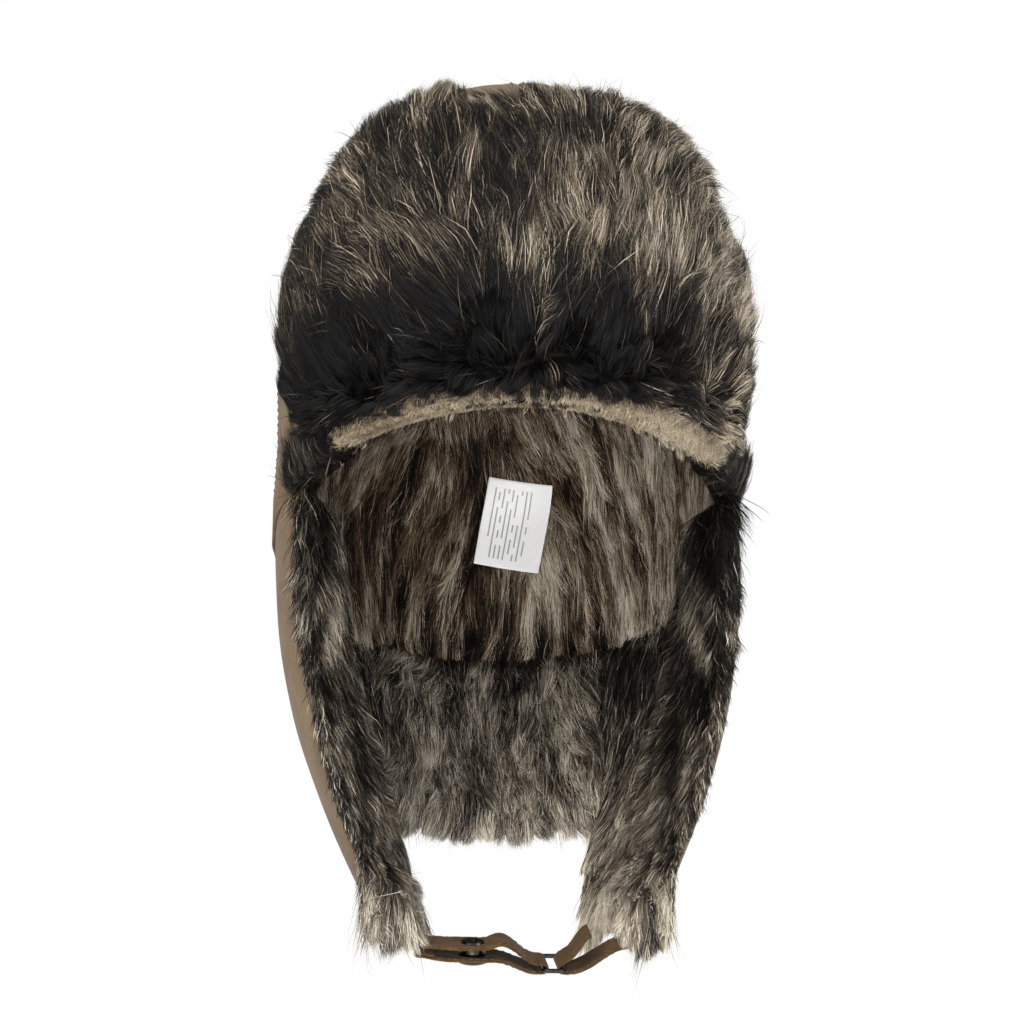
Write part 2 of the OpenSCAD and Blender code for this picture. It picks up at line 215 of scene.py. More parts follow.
def linear(hex_colour):
    """The linear colour of an sRGB hex value."""
    parts = [int(hex_colour[k:k + 2], 16) / 255 for k in (1, 3, 5)]
    return tuple(c / 12.92 if c <= 0.04045 else ((c + 0.055) / 1.055) ** 2.4 for c in parts) + (1,)


def add(material, kind, inputs={}, **settings):
    """Adds a node to a material, with its settings and with its inputs' values or links."""
    node = material.node_tree.nodes.new("ShaderNode" + kind)
    for key, value in settings.items():
        setattr(node, key, value)
    for key, value in inputs.items():
        if isinstance(value, bpy.types.NodeSocket):
            material.node_tree.links.new(value, node.inputs[key])
        else:
            node.inputs[key].default_value = value
    return node


def stops(node, *pairs):
    """Sets a colour ramp's places and colours."""
    ramp = node.color_ramp
    while len(ramp.elements) < len(pairs):
        ramp.elements.new(0.5)
    for element, (place, hex_colour) in zip(ramp.elements, pairs):
        element.position = place
        element.color = linear(hex_colour)
    return node.outputs["Color"]


def link(material, source, target):
    material.node_tree.links.new(source, target)


def finish_of(name, **values):
    """A new material with its shader, whose inputs take these values."""
    material = bpy.data.materials.new(name)
    material.use_nodes = True
    shader = material.node_tree.nodes["Principled BSDF"]
    for key, value in values.items():
        shader.inputs[key.replace("_", " ")].default_value = value
    return material, shader


def tinted(material, shader, share, *pairs):
    """Colours a material by a share that runs along a ramp."""
    colour = stops(add(material, "ValToRGB", {"Fac": share}), *pairs)
    link(material, colour, shader.inputs["Base Color"])


def raised(material, shader, height, strength, distance):
    """Gives a material the fine relief of a height."""
    relief = add(material, "Bump", {"Height": height, "Strength": strength, "Distance": distance})
    link(material, relief.outputs["Normal"], shader.inputs["Normal"])


# Brushed polyester: a plain weave whose raised nap hides most of the threads, so it is matt, a
# little lighter where the nap is worn or catches the light, and slightly cloudy in colour.
NAP_MM, CLOUD_MM = 0.9, 26
cloth, shader = finish_of("brushed_polyester", Roughness=0.88, Sheen_Weight=0.06, Sheen_Roughness=0.5,
                          Specular_IOR_Level=0.3)
where = add(cloth, "TexCoord").outputs["Object"]
nap = add(cloth, "TexNoise", {"Vector": where, "Scale": 1000 / NAP_MM, "Detail": 3.0,
                              "Roughness": 0.7})
cloud = add(cloth, "TexNoise", {"Vector": where, "Scale": 1000 / CLOUD_MM, "Detail": 4.0,
                                "Roughness": 0.6})
mixed = add(cloth, "Math", {0: cloud.outputs["Fac"], 1: nap.outputs["Fac"]}, operation="ADD")
halved = add(cloth, "Math", {0: mixed.outputs[0], 1: 0.5}, operation="MULTIPLY")
tinted(cloth, shader, halved.outputs[0], (0.36, SHELL_SHADE), (0.5, SHELL_BROWN), (0.66, SHELL_WORN))
raised(cloth, shader, nap.outputs["Fac"], 0.35, 0.0004)

# The sewing thread is a polyester a shade darker than the cloth.
thread, shader = finish_of("polyester_thread", Base_Color=linear("#5a4a36"), Roughness=0.6)


def lengths_along(line):
    """How far each point of a line is from its start, along it."""
    return np.concatenate([[0], np.cumsum(np.linalg.norm(np.diff(line, axis=0), axis=1))])


def stitch_row(name, line, normal, body, length=0.0026, gap=0.0012, width=0.00035):
    """One piece of short rounded stitches along a line of points, lying on the cloth."""
    run = lengths_along(line)
    starts = np.arange(gap, run[-1] - length, length + gap)
    verts, faces = [], []
    for start in starts:
        ends = []
        for share in (0, 0.5, 1):
            along = start + share * length
            spot = np.array([np.interp(along, run, line[:, k]) for k in range(3)])
            out = unit(np.array([np.interp(along, run, normal[:, k]) for k in range(3)]))
            ends.append((spot + out * width * (0.9 if share == 0.5 else -0.2), out))
        axis = unit(ends[2][0] - ends[0][0])
        first = len(verts)
        for (spot, out), fat in zip(ends, (0.45, 1, 0.45)):
            side = np.cross(axis, out)
            for a in np.arange(6) * np.pi / 3:
                verts.append(spot + width * fat * (math.cos(a) * side + math.sin(a) * out))
        for ring in (0, 6):
            for a in range(6):
                b = (a + 1) % 6
                low = first + ring
                faces.append((low + a, low + b, low + 6 + b, low + 6 + a))
        faces.append(tuple(first + a for a in reversed(range(6))))
        faces.append(tuple(first + 12 + a for a in range(6)))
    piece = mesh_piece(name, verts, faces)
    piece.data.materials.append(thread)
    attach(piece, body)


def puckered(points, out, beside):
    """Cloth points moved along out by broad creases and, beside a seam, by short puckers."""
    broad = lumps(points, 0.045, 1) * 0.0018 + np.abs(lumps(points, 0.022, 10)) * 0.0012
    short = lumps(points * np.array([1, 1, 0.6]), 0.009, 6) * 0.0012 * np.exp(-beside / 0.012)
    dip = -0.0009 * np.exp(-(beside / 0.0016) ** 2)
    return points + out * (broad + short + dip)[..., None]


# Each gore starts at this turn from the front, and its rows lie closer together near the top.
GORES = {"front_left": 0, "back_left": 90, "back_right": 180, "front_right": 270}
ROW_SPREAD = 1.25
SEAM_ALLOWANCE = 0.0028
for place, start in GORES.items():
    across, up = grid(49, 65)
    turn = np.radians(start + 90 * across)
    climb = 1 - (1 - up) ** ROW_SPREAD
    face = crown_point(turn, climb, 0)
    middle = math.radians(start + 45)
    out = facing(face, (math.sin(middle), -math.cos(middle), 0.3))
    span = np.linalg.norm(np.gradient(face, axis=0), axis=-1).sum(0)[None, :]
    beside = np.minimum(across, 1 - across) * span
    face = puckered(face, out, beside)
    face += np.array([np.sign(math.sin(middle)), -np.sign(math.cos(middle)), 0]) * SEAM_GAP / 3
    gore = panel_piece("crown_gore_" + place, face, face - out * CLOTH_T)
    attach(gore, "crown")
    fitted(gore, cloth, "crown_" + place)
    for side in ("first", "last"):
        keep = np.where((up[0] > 0.01) & (climb[0] < 0.97))[0]
        share = (SEAM_ALLOWANCE / np.maximum(span[0, keep], 0.01)).clip(0, 0.45)
        share = share if side == "first" else 1 - share
        line = np.stack([[np.interp(s, across[:, 0], face[:, k, c]) for c in range(3)]
                         for s, k in zip(share, keep)])
        normal = np.stack([[np.interp(s, across[:, 0], out[:, k, c]) for c in range(3)]
                           for s, k in zip(share, keep)])
        stitch_row(f"crown_stitching_{place}_{side}", line, normal, "crown")


# ---- Fur lining of the crown ----
# Long-pile acrylic fur, cut in four quarters like the cloth and sewn in with its pile turned in.
# The hide is its knitted ground with the dense dark undercoat; the pile stands on it in locks.
STREAK_W, STREAK_L = 0.0022, 0.018


def pelt(points, out):
    """A fur panel's skin: gives its points at a height over it, also a little beyond its edges."""
    n, m = points.shape[:2]
    run_u, run_v = np.gradient(points, axis=0) * (n - 1), np.gradient(points, axis=1) * (m - 1)

    def read(table, u, v):
        x, y = u.clip(0, 1) * (n - 1), v.clip(0, 1) * (m - 1)
        i, j = np.minimum(x.astype(int), n - 2), np.minimum(y.astype(int), m - 2)
        a, b = (x - i)[..., None], (y - j)[..., None]
        low = table[i, j] * (1 - a) + table[i + 1, j] * a
        return low * (1 - b) + (table[i, j + 1] * (1 - a) + table[i + 1, j + 1] * a) * b

    def at(u, v, height):
        past_u, past_v = (u - u.clip(0, 1))[..., None], (v - v.clip(0, 1))[..., None]
        spot = read(points, u, v) + read(run_u, u, v) * past_u + read(run_v, u, v) * past_v
        return spot + read(out, u, v) * height[..., None]

    area = np.linalg.norm(np.cross(run_u[:-1, :-1], run_v[:-1, :-1]), axis=-1)
    cells = [max(4, int(np.median(np.linalg.norm(run, axis=-1)) / STREAK_W)) for run in (run_u, run_v)]
    flecks = np.random.default_rng(n * m).normal(0, 1, cells)
    return {"at": at, "read": read, "out": out, "u": run_u, "v": run_v, "area": area, "points": points,
            "flecks": flecks}


def scatter(skin, count, rng, zone, thick):
    """Places on a skin, evenly over its area times thick, in a zone of shares (u0, u1, v0, v1)."""
    n, m = skin["area"].shape
    u, v = (np.arange(n) + 0.5) / n, (np.arange(m) + 0.5) / m
    inside = ((u >= zone[0]) & (u <= zone[1]))[:, None] & ((v >= zone[2]) & (v <= zone[3]))[None, :]
    weight = skin["area"] * inside
    if thick is not None:
        weight = weight * thick(skin["points"][:-1, :-1])
    pick = rng.choice(n * m, count, p=weight.ravel() / weight.sum())
    return (pick // m + rng.random(count)) / n, (pick % m + rng.random(count)) / m


# The places of a hair's four points, as shares of its length.
BEND = np.array([0, 0.4, 0.75, 1])


def laid(skin, u, v, rng, comb, length, lift, sway, droop):
    """Hairs from places on a skin: they leave it at an angle, droop along the comb and sway.

    Also gives the way out of the skin and each hair's part in the long streaks of dark and pale."""
    read = skin["read"]
    root = skin["at"](u, v, 0 * u)
    out = unit(read(skin["out"], u, v))
    run_u, run_v = read(skin["u"], u, v), read(skin["v"], u, v)
    along = comb(root)
    along = unit(along - out * (along * out).sum(-1, keepdims=True))
    turn = rng.normal(0, sway, len(u))[:, None]
    aside = np.cross(out, along)
    along = along * np.cos(turn) + aside * np.sin(turn)
    aside = np.cross(out, along)
    e, f, g = (run_u * run_u).sum(-1), (run_u * run_v).sum(-1), (run_v * run_v).sum(-1)
    solid = np.maximum(e * g - f * f, 1e-12)

    def shares(direction):
        p, q = (direction * run_u).sum(-1), (direction * run_v).sum(-1)
        return ((g * p - f * q) / solid)[:, None], ((e * q - f * p) / solid)[:, None]

    (a, b), (c, d) = shares(along), shares(aside)
    flecks, reach = skin["flecks"], np.linspace(-STREAK_L, STREAK_L, 13)
    row = ((u[:, None] + a * reach) * flecks.shape[0]).astype(int) % flecks.shape[0]
    column = ((v[:, None] + b * reach) * flecks.shape[1]).astype(int) % flecks.shape[1]
    streak = flecks[row, column].mean(1) * 13 ** 0.5
    run = length[:, None] * BEND * np.cos(lift)[:, None]
    drift = length[:, None] * BEND ** 2 * rng.normal(0, 0.12, len(u))[:, None]
    rise = length[:, None] * np.sin(lift)[:, None] * (BEND - droop * BEND ** 2) - 0.0003
    hairs = skin["at"](u[:, None] + a * run + c * drift, v[:, None] + b * run + d * drift, rise)
    return hairs, out, streak


def gathered(hairs, guides, tightness):
    """Hairs drawn together towards the nearest guide hair, more and more towards their tips."""
    tree = kdtree.KDTree(len(guides))
    for k, spot in enumerate(guides[:, 0]):
        tree.insert(spot, k)
    tree.balance()
    near = np.array([tree.find(spot)[1] for spot in hairs[:, 0]])
    pull = (tightness * BEND ** 1.4)[None, :, None]
    apart = (hairs[:, :1] - guides[near][:, :1]) * 0.22
    return hairs + (guides[near] + apart - hairs) * pull, near


def hair_piece(name, hairs, aside, half_width, tone):
    """One mesh of flat tapering hairs. Its UV map holds each hair's tone and the share along it."""
    count, k = hairs.shape[:2]
    fat = (np.array([0.8, 1, 0.65])[None, :, None] * half_width[:, None, None]) * aside[:, None]
    verts = np.empty((count, 2 * k - 1, 3), np.float32)
    verts[:, 0:-1:2], verts[:, 1:-1:2] = hairs[:, :-1] - fat, hairs[:, :-1] + fat
    verts[:, -1] = hairs[:, -1]
    order = []
    for j in range(k - 2):
        order += [2 * j, 2 * j + 1, 2 * j + 3, 2 * j + 2]
    order += [2 * k - 4, 2 * k - 3, 2 * k - 2]
    sizes = [4] * (k - 2) + [3]
    corners = (np.arange(count)[:, None] * (2 * k - 1) + np.array(order)[None, :]).ravel()
    begins = (np.arange(count)[:, None] * len(order) + np.cumsum([0] + sizes[:-1])[None, :]).ravel()
    mesh = bpy.data.meshes.new(name)
    mesh.vertices.add(count * (2 * k - 1))
    mesh.vertices.foreach_set("co", verts.ravel())
    mesh.loops.add(len(corners))
    mesh.loops.foreach_set("vertex_index", corners.astype(np.int32))
    mesh.polygons.add(len(begins))
    mesh.polygons.foreach_set("loop_start", begins.astype(np.int32))
    mesh.update(calc_edges=True)
    layer = mesh.uv_layers.new(name="OFBake")
    share = np.repeat(BEND, 2)[:-1][order]
    spots = np.stack([np.repeat(tone, len(order)), np.tile(0.02 + 0.96 * share, count)], -1)
    layer.data.foreach_set("uv", spots.astype(np.float32).ravel())
    piece = bpy.data.objects.new(name, mesh)
    bpy.context.scene.collection.objects.link(piece)
    return piece


HAIR_MM = 0.31


def fur(name, skin, count, seed, comb, length, tone, material, lift=0.42, sway=0.15,
        locks=(1500, 220), tight=(0.82, 0.55), wild=0.03, zone=(0, 1, 0, 1), thick=None,
        vary=(0.07, 0.24, 0.14), droop=0.3):
    """The pile of one fur panel: hairs gathered in small locks, and these in large ones.

    tight is how far each kind of lock is drawn together, wild the share of loose hairs, and vary
    how much the tone changes from lock to lock, along the streaks and from hair to hair."""
    rng = np.random.default_rng(seed)

    def strands(number, spread, stretch):
        u, v = scatter(skin, number, rng, zone, thick)
        root = skin["at"](u, v, 0 * u)
        long = length(root) * stretch * rng.uniform(0.7, 1.15, number)
        stand = (lift(root) if callable(lift) else lift) + rng.normal(0, 0.1, number)
        return laid(skin, u, v, rng, comb, long, stand.clip(0.06, 1.4), spread, droop)

    large = strands(locks[1], sway * 1.2, 1.0)[0]
    small, which = gathered(strands(locks[0], sway, 1.0)[0], large, tight[1])
    large_tone = rng.normal(0, vary[0], len(large))
    hairs, out, streak = strands(count, sway * 1.3, 1.0)
    hairs, near = gathered(hairs, small, tight[0])
    loose = int(count * wild)
    hairs[:loose], out[:loose], _ = strands(loose, sway * 1.8, 1.1)
    shade = (tone(hairs[:, 0]) + large_tone[which][near] + streak * vary[1]
             + rng.normal(0, vary[2], count))
    shade[:loose] = np.maximum(shade[:loose], rng.uniform(0.2, 0.65, loose))
    along = unit(hairs[:, 2] - hairs[:, 0])
    flat = unit(np.cross(along, out))
    roll = rng.normal(0, 0.5, count)[:, None]
    aside = unit(flat * np.cos(roll) + np.cross(along, flat) * np.sin(roll))
    half = rng.uniform(0.7, 1.2, count) * HAIR_MM / 2000
    piece = hair_piece(name, hairs, aside, half, shade.clip(0.01, 0.99))
    piece.data.materials.append(material)
    return piece


def hair_finish(name, *tones, root):
    """Dyed acrylic fibre: smooth, slightly glossy, from nearly black hairs to pale ones."""
    hair, shader = finish_of(name, Roughness=0.5, Specular_IOR_Level=0.12)
    spot = add(hair, "UVMap", uv_map="OFBake").outputs["UV"]
    split = add(hair, "SeparateXYZ", {"Vector": spot})
    tone = stops(add(hair, "ValToRGB", {"Fac": split.outputs["X"]}), *tones)
    fade = stops(add(hair, "ValToRGB", {"Fac": split.outputs["Y"]}),
                 (0.0, root), (0.35, "#a9a5a0"), (0.8, "#ffffff"))
    both = add(hair, "Mix", {"Factor": 1.0}, data_type="RGBA", blend_type="MULTIPLY")
    link(hair, tone, both.inputs[6])
    link(hair, fade, both.inputs[7])
    link(hair, both.outputs[2], shader.inputs["Base Color"])
    return hair


def puff(across, up, points, edge_mm, open_sides=(1, 1, 1, 1)):
    """0 at a panel's open edges and 1 in its middle: how full the fur is there."""
    du = np.linalg.norm(np.gradient(points, axis=0), axis=-1)
    dv = np.linalg.norm(np.gradient(points, axis=1), axis=-1)
    away = [np.cumsum(du, 0), du.sum(0)[None] - np.cumsum(du, 0),
            np.cumsum(dv, 1), dv.sum(1)[:, None] - np.cumsum(dv, 1)]
    full = np.ones_like(across)
    for distance, is_open in zip(away, open_sides):
        if is_open:
            full = full * (1 - np.exp(-((distance * 1000 + 0.2) / edge_mm) ** 1.3))
    return full


ROLL_ROWS = 6


def rolled(face, out, reverse, side, bulge=1.0, first=0.94):
    """Carries a fur panel's skin round its start or its hem, from the pile's face to the cloth."""
    turn = {"start": lambda g: g, "hem": lambda g: g.swapaxes(0, 1)}[side]
    f, o, r = turn(face), turn(out), turn(reverse)
    middle, thick = (f[0] + r[0]) / 2, (f[0] - r[0]) / 2
    half = np.linalg.norm(thick, axis=-1, keepdims=True)
    away = unit(f[0] - f[1])
    away = unit(away - thick * (away * thick).sum(-1, keepdims=True) / half ** 2)
    angles = np.linspace(first * np.pi, first * np.pi / ROLL_ROWS / 2, ROLL_ROWS)
    ring = np.stack([middle + thick * np.cos(a) + away * half * np.sin(a) * bulge for a in angles])
    ways = np.stack([unit(thick / half * np.cos(a) + away * np.sin(a)) for a in angles])
    return turn(np.concatenate([ring, f])), turn(np.concatenate([ways, o]))


# The undercoat seen between the locks: short crimped fibre, nearly black and very matt.
CRIMP_MM = 1.6
undercoat, shader = finish_of("knitted_undercoat", Roughness=0.95, Specular_IOR_Level=0.1)
where = add(undercoat, "TexCoord").outputs["Object"]
crimp = add(undercoat, "TexNoise", {"Vector": where, "Scale": 1000 / CRIMP_MM, "Detail": 3.0})
tinted(undercoat, shader, crimp.outputs["Fac"], (0.35, "#0c0a09"), (0.7, "#1c1815"))
raised(undercoat, shader, crimp.outputs["Fac"], 0.8, 0.0008)

lining_pile = hair_finish("acrylic_pile_lining", (0.0, "#0d0b09"), (0.25, "#251d17"),
                          (0.42, "#5b4531"), (0.6, "#877460"), (0.8, "#c0b19a"),
                          (1.0, "#e6dbc8"), root="#3a342f")
LINING_FACE = -(CLOTH_T + LAYER_GAP)
PILE_ROOT = LINING_FACE - 0.0045


def above_edge(p):
    """The height over the crown's edge."""
    return p[..., 2] - edge_z(np.arctan2(p[..., 0], -p[..., 1]))


def rising(value, start, width):
    """0 up to a start and from there rising evenly to 1 over a width."""
    return ((value - start) / width).clip(0, 1)


def bell(value, middle, width):
    """1 at a middle, falling off smoothly on both sides."""
    return np.exp(-((value - middle) / width) ** 2)


def same(value):
    """One value for every hair."""
    return lambda p: value + 0 * p[:, 0]


def lining_comb(p):
    """Down and outward from the back seam, with slow swirls."""
    x, z = p[:, 0], p[:, 2]
    swirl = np.sin(x * 47 + z * 31) * 0.3 + np.sin(x * 110 - z * 60) * 0.1
    high = rising(z, -0.02, 0.06)
    return np.stack([(0.15 + 0.5 * high) * x / 0.05 + swirl, 0 * x, -1 + 0 * x], -1)


def lining_tone(p):
    """Painted light: paler on the wearer's left. Dark along the back seam. Painted shade at the hem at the nape, and
    darker towards the edge behind the brow.
    """
    x, y, z = p.T
    above = above_edge(p)
    cloud = np.sin(x * 60 + 1.3) * np.sin(z * 45 + y * 30) * 0.09
    seam = 0.3 * bell(x, -0.004, 0.007) * rising(-z, -0.05, 0.03) * (y > 0)
    # Painted light: the inner wall on the wearer's left, which the lamps light, is made paler.
    side = 0.2 * ((x - 0.01) / 0.07).clip(-0.2, 1)
    # Painted shade along the hem at the nape, where the lining hangs over the neck flap; at the front the pile is
    # darker towards the edge behind the brow.
    hem = np.where(y > 0, (0.14 + 0.22 * bell(x, 0, 0.045)) * bell(above, 0, 0.02),
                   0.25 * np.exp(-above / 0.015))
    return 0.43 + cloud - seam + side - hem + 0.12 * rising(z, 0.02, 0.05)


def lining_length(p):
    """Short at the brow, where it is hidden, and long at the nape, where it hangs over the seam."""
    x, y, z = p.T
    low, brow = 1 - rising(above_edge(p), 0, 0.03), rising(-y, 0, 0.03)
    ragged = 0.004 * np.sin(x * 260) * np.sin(x * 97 + 1) + 0.005 * np.sin(x * 1250 + z * 700)
    return 0.022 - 0.015 * brow * low + ragged * (1 - brow) * low


def lining_lift(p):
    """The pile stands in over the seam at the nape."""
    return 0.32 + 0.45 * np.exp(-above_edge(p).clip(0) / 0.014) * (p[:, 1] > 0)


for order, (place, start) in enumerate(GORES.items()):
    across, up = grid(61, 61)
    turn = np.radians(start + 90 * across)
    climb = 1 - (1 - up) ** ROW_SPREAD
    middle = math.radians(start + 45)
    inward = (-math.sin(middle), math.cos(middle), -0.3)
    face = crown_point(turn, climb, LINING_FACE - 0.0002)
    pile = crown_point(turn, climb * 0.985, PILE_ROOT)
    out = facing(pile, inward)
    full = puff(across, up, pile, 4, (1, 1, start in (0, 270), 0))
    pile = pile - out * (1 - full)[..., None] * 0.002
    hide = panel_piece("lining_hide_" + place, pile, face)
    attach(hide, "crown")
    fitted(hide, undercoat, "lining_" + place)
    skin = pelt(pile, out)
    hairs = fur("lining_pile_" + place, skin, 38000 if start in (90, 180) else 26000, 11 + order,
                lining_comb, lining_length, lining_tone, lining_pile, lift=lining_lift,
                zone=(0, 1, 0, 0.93), tight=(0.72, 0.42), vary=(0.05, 0.22, 0.16), droop=0.5,
                thick=lambda p: np.where(p[..., 2] < 0.09, 1.0, 0.35))
    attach(hairs, "crown")


# ---- Front flap ----
# A flap of the same cloth, faced with the longest fur and sewn to the crown's front edge. It is
# turned up over the crown, so its pile is brushed upward and stands out round its edge.
FLAP_H, FLAP_HALF, FLAP_FLARE, FLAP_CORNER, FLAP_CLEAR = 0.129, 56, 15, 0.52, 0.0012
# The pile parts at this height over the crown's edge: up above it, down below it.
RIDGE = 0.015


def front_flap_point(across, up, off):
    side = 2 * across - 1
    turn = np.radians(side * (FLAP_HALF + FLAP_FLARE * up))
    top = FLAP_H * (1 - FLAP_CORNER * side ** 4)
    low = edge_z(turn)
    return crown_level(turn, low + (top - low) * up, off)


across, up = grid(97, 49)
back_face = front_flap_point(across, up, FLAP_CLEAR)
out = facing(back_face, (0, -1, 0))
cloth_face = front_flap_point(across, up, FLAP_CLEAR + CLOTH_T)
flap_cloth = panel_piece("front_flap_cloth", cloth_face, back_face)
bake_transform(flap_cloth)
fitted(flap_cloth, cloth, "front_flap_shell")

front_pile = hair_finish("acrylic_pile_front", (0.0, "#080707"), (0.32, "#14120f"),
                         (0.5, "#3b342c"), (0.7, "#81735f"), (1.0, "#decfb6"), root="#3c3834")
full = puff(across, up, cloth_face, 7)
pile = cloth_face + out * (0.0006 + 0.0062 * full)[..., None]
hide = panel_piece("front_flap_hide", pile, cloth_face + out * 0.0002)
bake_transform(hide)
fitted(hide, undercoat, "front_flap_fur")


def front_comb(p):
    """Upward, fanning out to both sides; below a ridge it is brushed down and outward."""
    x, z, share = p[:, 0], p[:, 2], p[:, 0] / 0.1
    lean = -0.2 + 0.5 * share.clip(-0.9, 0) + share.clip(0) * (0.9 + 1.2 * (z / 0.12 - 0.5).clip(0))
    angle = lean + (0.28 * np.sin(x * 70 + z * 40) + 0.12 * np.sin(x * 170 - z * 90))
    down = above_edge(p) < RIDGE + 0.003 * np.sin(x * 140)
    return np.stack([np.sin(angle) + 1.6 * share * down, 0 * x,
                     np.cos(angle) * np.where(down, -0.7, 1)], -1)


def front_tone(p):
    """A near-black band above the brow, paler locks in the middle and on the wearer's left."""
    x, z = p[:, 0], p[:, 2]
    above = above_edge(p) + 0.003 * np.sin(x * 55)
    corner = rising(x, 0.04, 0.035) * bell(above, 0, 0.016)
    band = 0.55 * np.exp(-((above - 0.01) / 0.021) ** 4) * (1 - 1.3 * corner)
    cloud = 0.08 * np.sin(x * 95 + 2) * np.sin(z * 60 + x * 30)
    side = 0.4 * rising(x, 0.02, 0.06) - 0.09 * rising(-x, 0, 0.06)
    return 0.31 - band + cloud + side


def front_lift(p):
    """The pile stands up most along the ridge and round the top."""
    ridge = 0.55 * bell(above_edge(p), RIDGE, 0.006)
    top, side = rising(p[:, 2], 0.09, 0.03), rising(np.abs(p[:, 0]), 0.085, 0.02)
    return 0.42 + ridge + 0.42 * top - 0.22 * side


def front_length(p):
    """Short by the brow's edge, long above the ridge and shortest where the shell shows past it."""
    out_x, z = np.abs(p[:, 0]), p[:, 2]
    top, side = rising(z, 0.085, 0.03), rising(out_x, 0.08, 0.025)
    bare = bell(p[:, 0], -0.008, 0.016) * top + bell(out_x, 0.09, 0.013) * rising(z, 0.06, 0.02)
    high = rising(above_edge(p), 0.004, 0.026)
    return 0.01 + 0.028 * high + 0.003 * top - 0.012 * bare - 0.004 * side


skin = pelt(pile, out)
for k in range(4):
    hairs = fur(f"front_flap_pile_{k + 1}", skin, 38000, 31 + k, front_comb, front_length,
                front_tone, front_pile, lift=front_lift, locks=(800, 110), wild=0.012,
                zone=(k / 4, (k + 1) / 4, 0, 1), vary=(0.07, 0.28, 0.17))
    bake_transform(hairs)

# The pile's cut edge along the brow is a short dense beige rim that covers the ends of the layers.
brow_pile = hair_finish("acrylic_pile_brow", (0.0, "#15120f"), (0.25, "#4c4135"), (0.5, "#94846c"),
                        (0.75, "#bcac91"), (1.0, "#e3d7c0"), root="#4a443c")
rim, rim_out = rolled(pile, out, front_flap_point(across, up, -CLOTH_T), "hem", bulge=0.4)


def brow_tone(p):
    """Beige at the edge and darker above it, paler on the wearer's left."""
    high = 0.4 * rising(above_edge(p), 0.001, 0.007)
    return 0.61 - high + 0.08 * np.sin(p[:, 0] * 130) + 0.16 * (p[:, 0] / 0.08).clip(-0.3, 1)


hairs = fur("brow_rim", pelt(rim, rim_out), 39000, 41,
            lambda p: np.stack([0.4 * p[:, 0] / 0.1, 0 * p[:, 0], -1 + 0 * p[:, 0]], -1),
            lambda p: 0.0075 + 0.005 * rising(p[:, 0], 0, 0.08), brow_tone, brow_pile, lift=0.6,
            locks=(2500, 400), tight=(0.3, 0.2), zone=(0.08, 0.94, 1 / 54, 9 / 54),
            vary=(0.03, 0.05, 0.15))
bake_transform(hairs)


# ---- Neck flap ----
# The skirt is one more sewn panel below the crown: cloth outside, fur inside. Its middle covers the
# neck. The fur is a little longer than the lining's and its ends hang past the hem.
NECK_HALF, NECK_LOW, NECK_BELLY = 0.05, 0.148, 0.006
SKIRT_DEPTH, SKIRT_SQUARE, SKIRT_LEAN = 0.25, 2.5, 0.03


def skirt_y(x, z):
    """How far back the skirt is at a place behind the hat's middle."""
    share = (1 - (-z / SKIRT_DEPTH) ** SKIRT_SQUARE) ** (1 / SKIRT_SQUARE)
    back_y = CROWN_L * share * np.sqrt(1 - (x / (CROWN_W * share)) ** 2)
    return back_y - SKIRT_LEAN * (z / SKIRT_DEPTH) ** 2


def neck_form(across, up):
    x = NECK_HALF * (1 - 2 * across)
    hem = -NECK_LOW - NECK_BELLY * (1 - (1 - 2 * across) ** 2)
    edge = edge_z(np.pi - np.arcsin(x / CROWN_W)) - SEAM_GAP
    z = hem + (edge - hem) * up
    return np.stack([x, skirt_y(x, z), z], -1)


def inward(form, towards, seam, top):
    """The way into the hat from each point of a flap, square to the hat at a seam, level at the top."""
    out = facing(form, towards)
    level = out * np.stack([1 + 0 * top, 1 + 0 * top, 1 - top], -1)
    return -unit(level * (1 - seam)[..., None] + np.array([0, 1, 0]) * seam[..., None])


def hem_stitching(name, form, ways, body, from_edge=0.004):
    """Topstitching along the hem of a flap's cloth."""
    line = np.empty_like(form[:, 0])
    for k, strip in enumerate(form[:, :6]):
        run = lengths_along(strip)
        line[k] = [np.interp(from_edge, run, strip[:, c]) for c in range(3)]
    stitch_row(name, line, -ways[:, 0], body)


skirt_pile = hair_finish("acrylic_pile_skirt", (0.0, "#0e0d0c"), (0.28, "#23201d"), (0.5, "#5b5349"),
                         (0.72, "#9c907d"), (1.0, "#e6dcc9"), root="#3a3631")
across, up = grid(81, 65)
form = neck_form(across, up)
ways = inward(form, (0, 1, 0), (2 * across - 1) ** 4, up ** 4)
creased = form - ways * (lumps(form, 0.03, 9) * 0.0006)[..., None]
neck_cloth = panel_piece("neck_flap_cloth", creased, form + ways * CLOTH_T)
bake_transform(neck_cloth)
fitted(neck_cloth, cloth, "neck_flap_shell")
hem_stitching("neck_hem_stitching", creased, ways, "neck_flap")

# The flaps' pile stands this far over its hide at an open edge, and so much more in the middle.
PILE_EDGE, PILE_FULL = 0.0005, 0.0045
full = puff(across, up, form, 5, (0, 0, 1, 1))
pile = form + ways * (CLOTH_T + LAYER_GAP + PILE_EDGE + PILE_FULL * full)[..., None]
hide = panel_piece("neck_flap_hide", pile, form + ways * (CLOTH_T + LAYER_GAP))
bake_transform(hide)
fitted(hide, undercoat, "neck_flap_fur")


def neck_comb(p):
    """Down, fanning out from the middle."""
    x, z = p[:, 0], p[:, 2]
    return np.stack([x / 0.05 * 0.35 + 0.15 * np.sin(z * 90 + x * 60), 0 * x, -1 + 0 * x], -1)


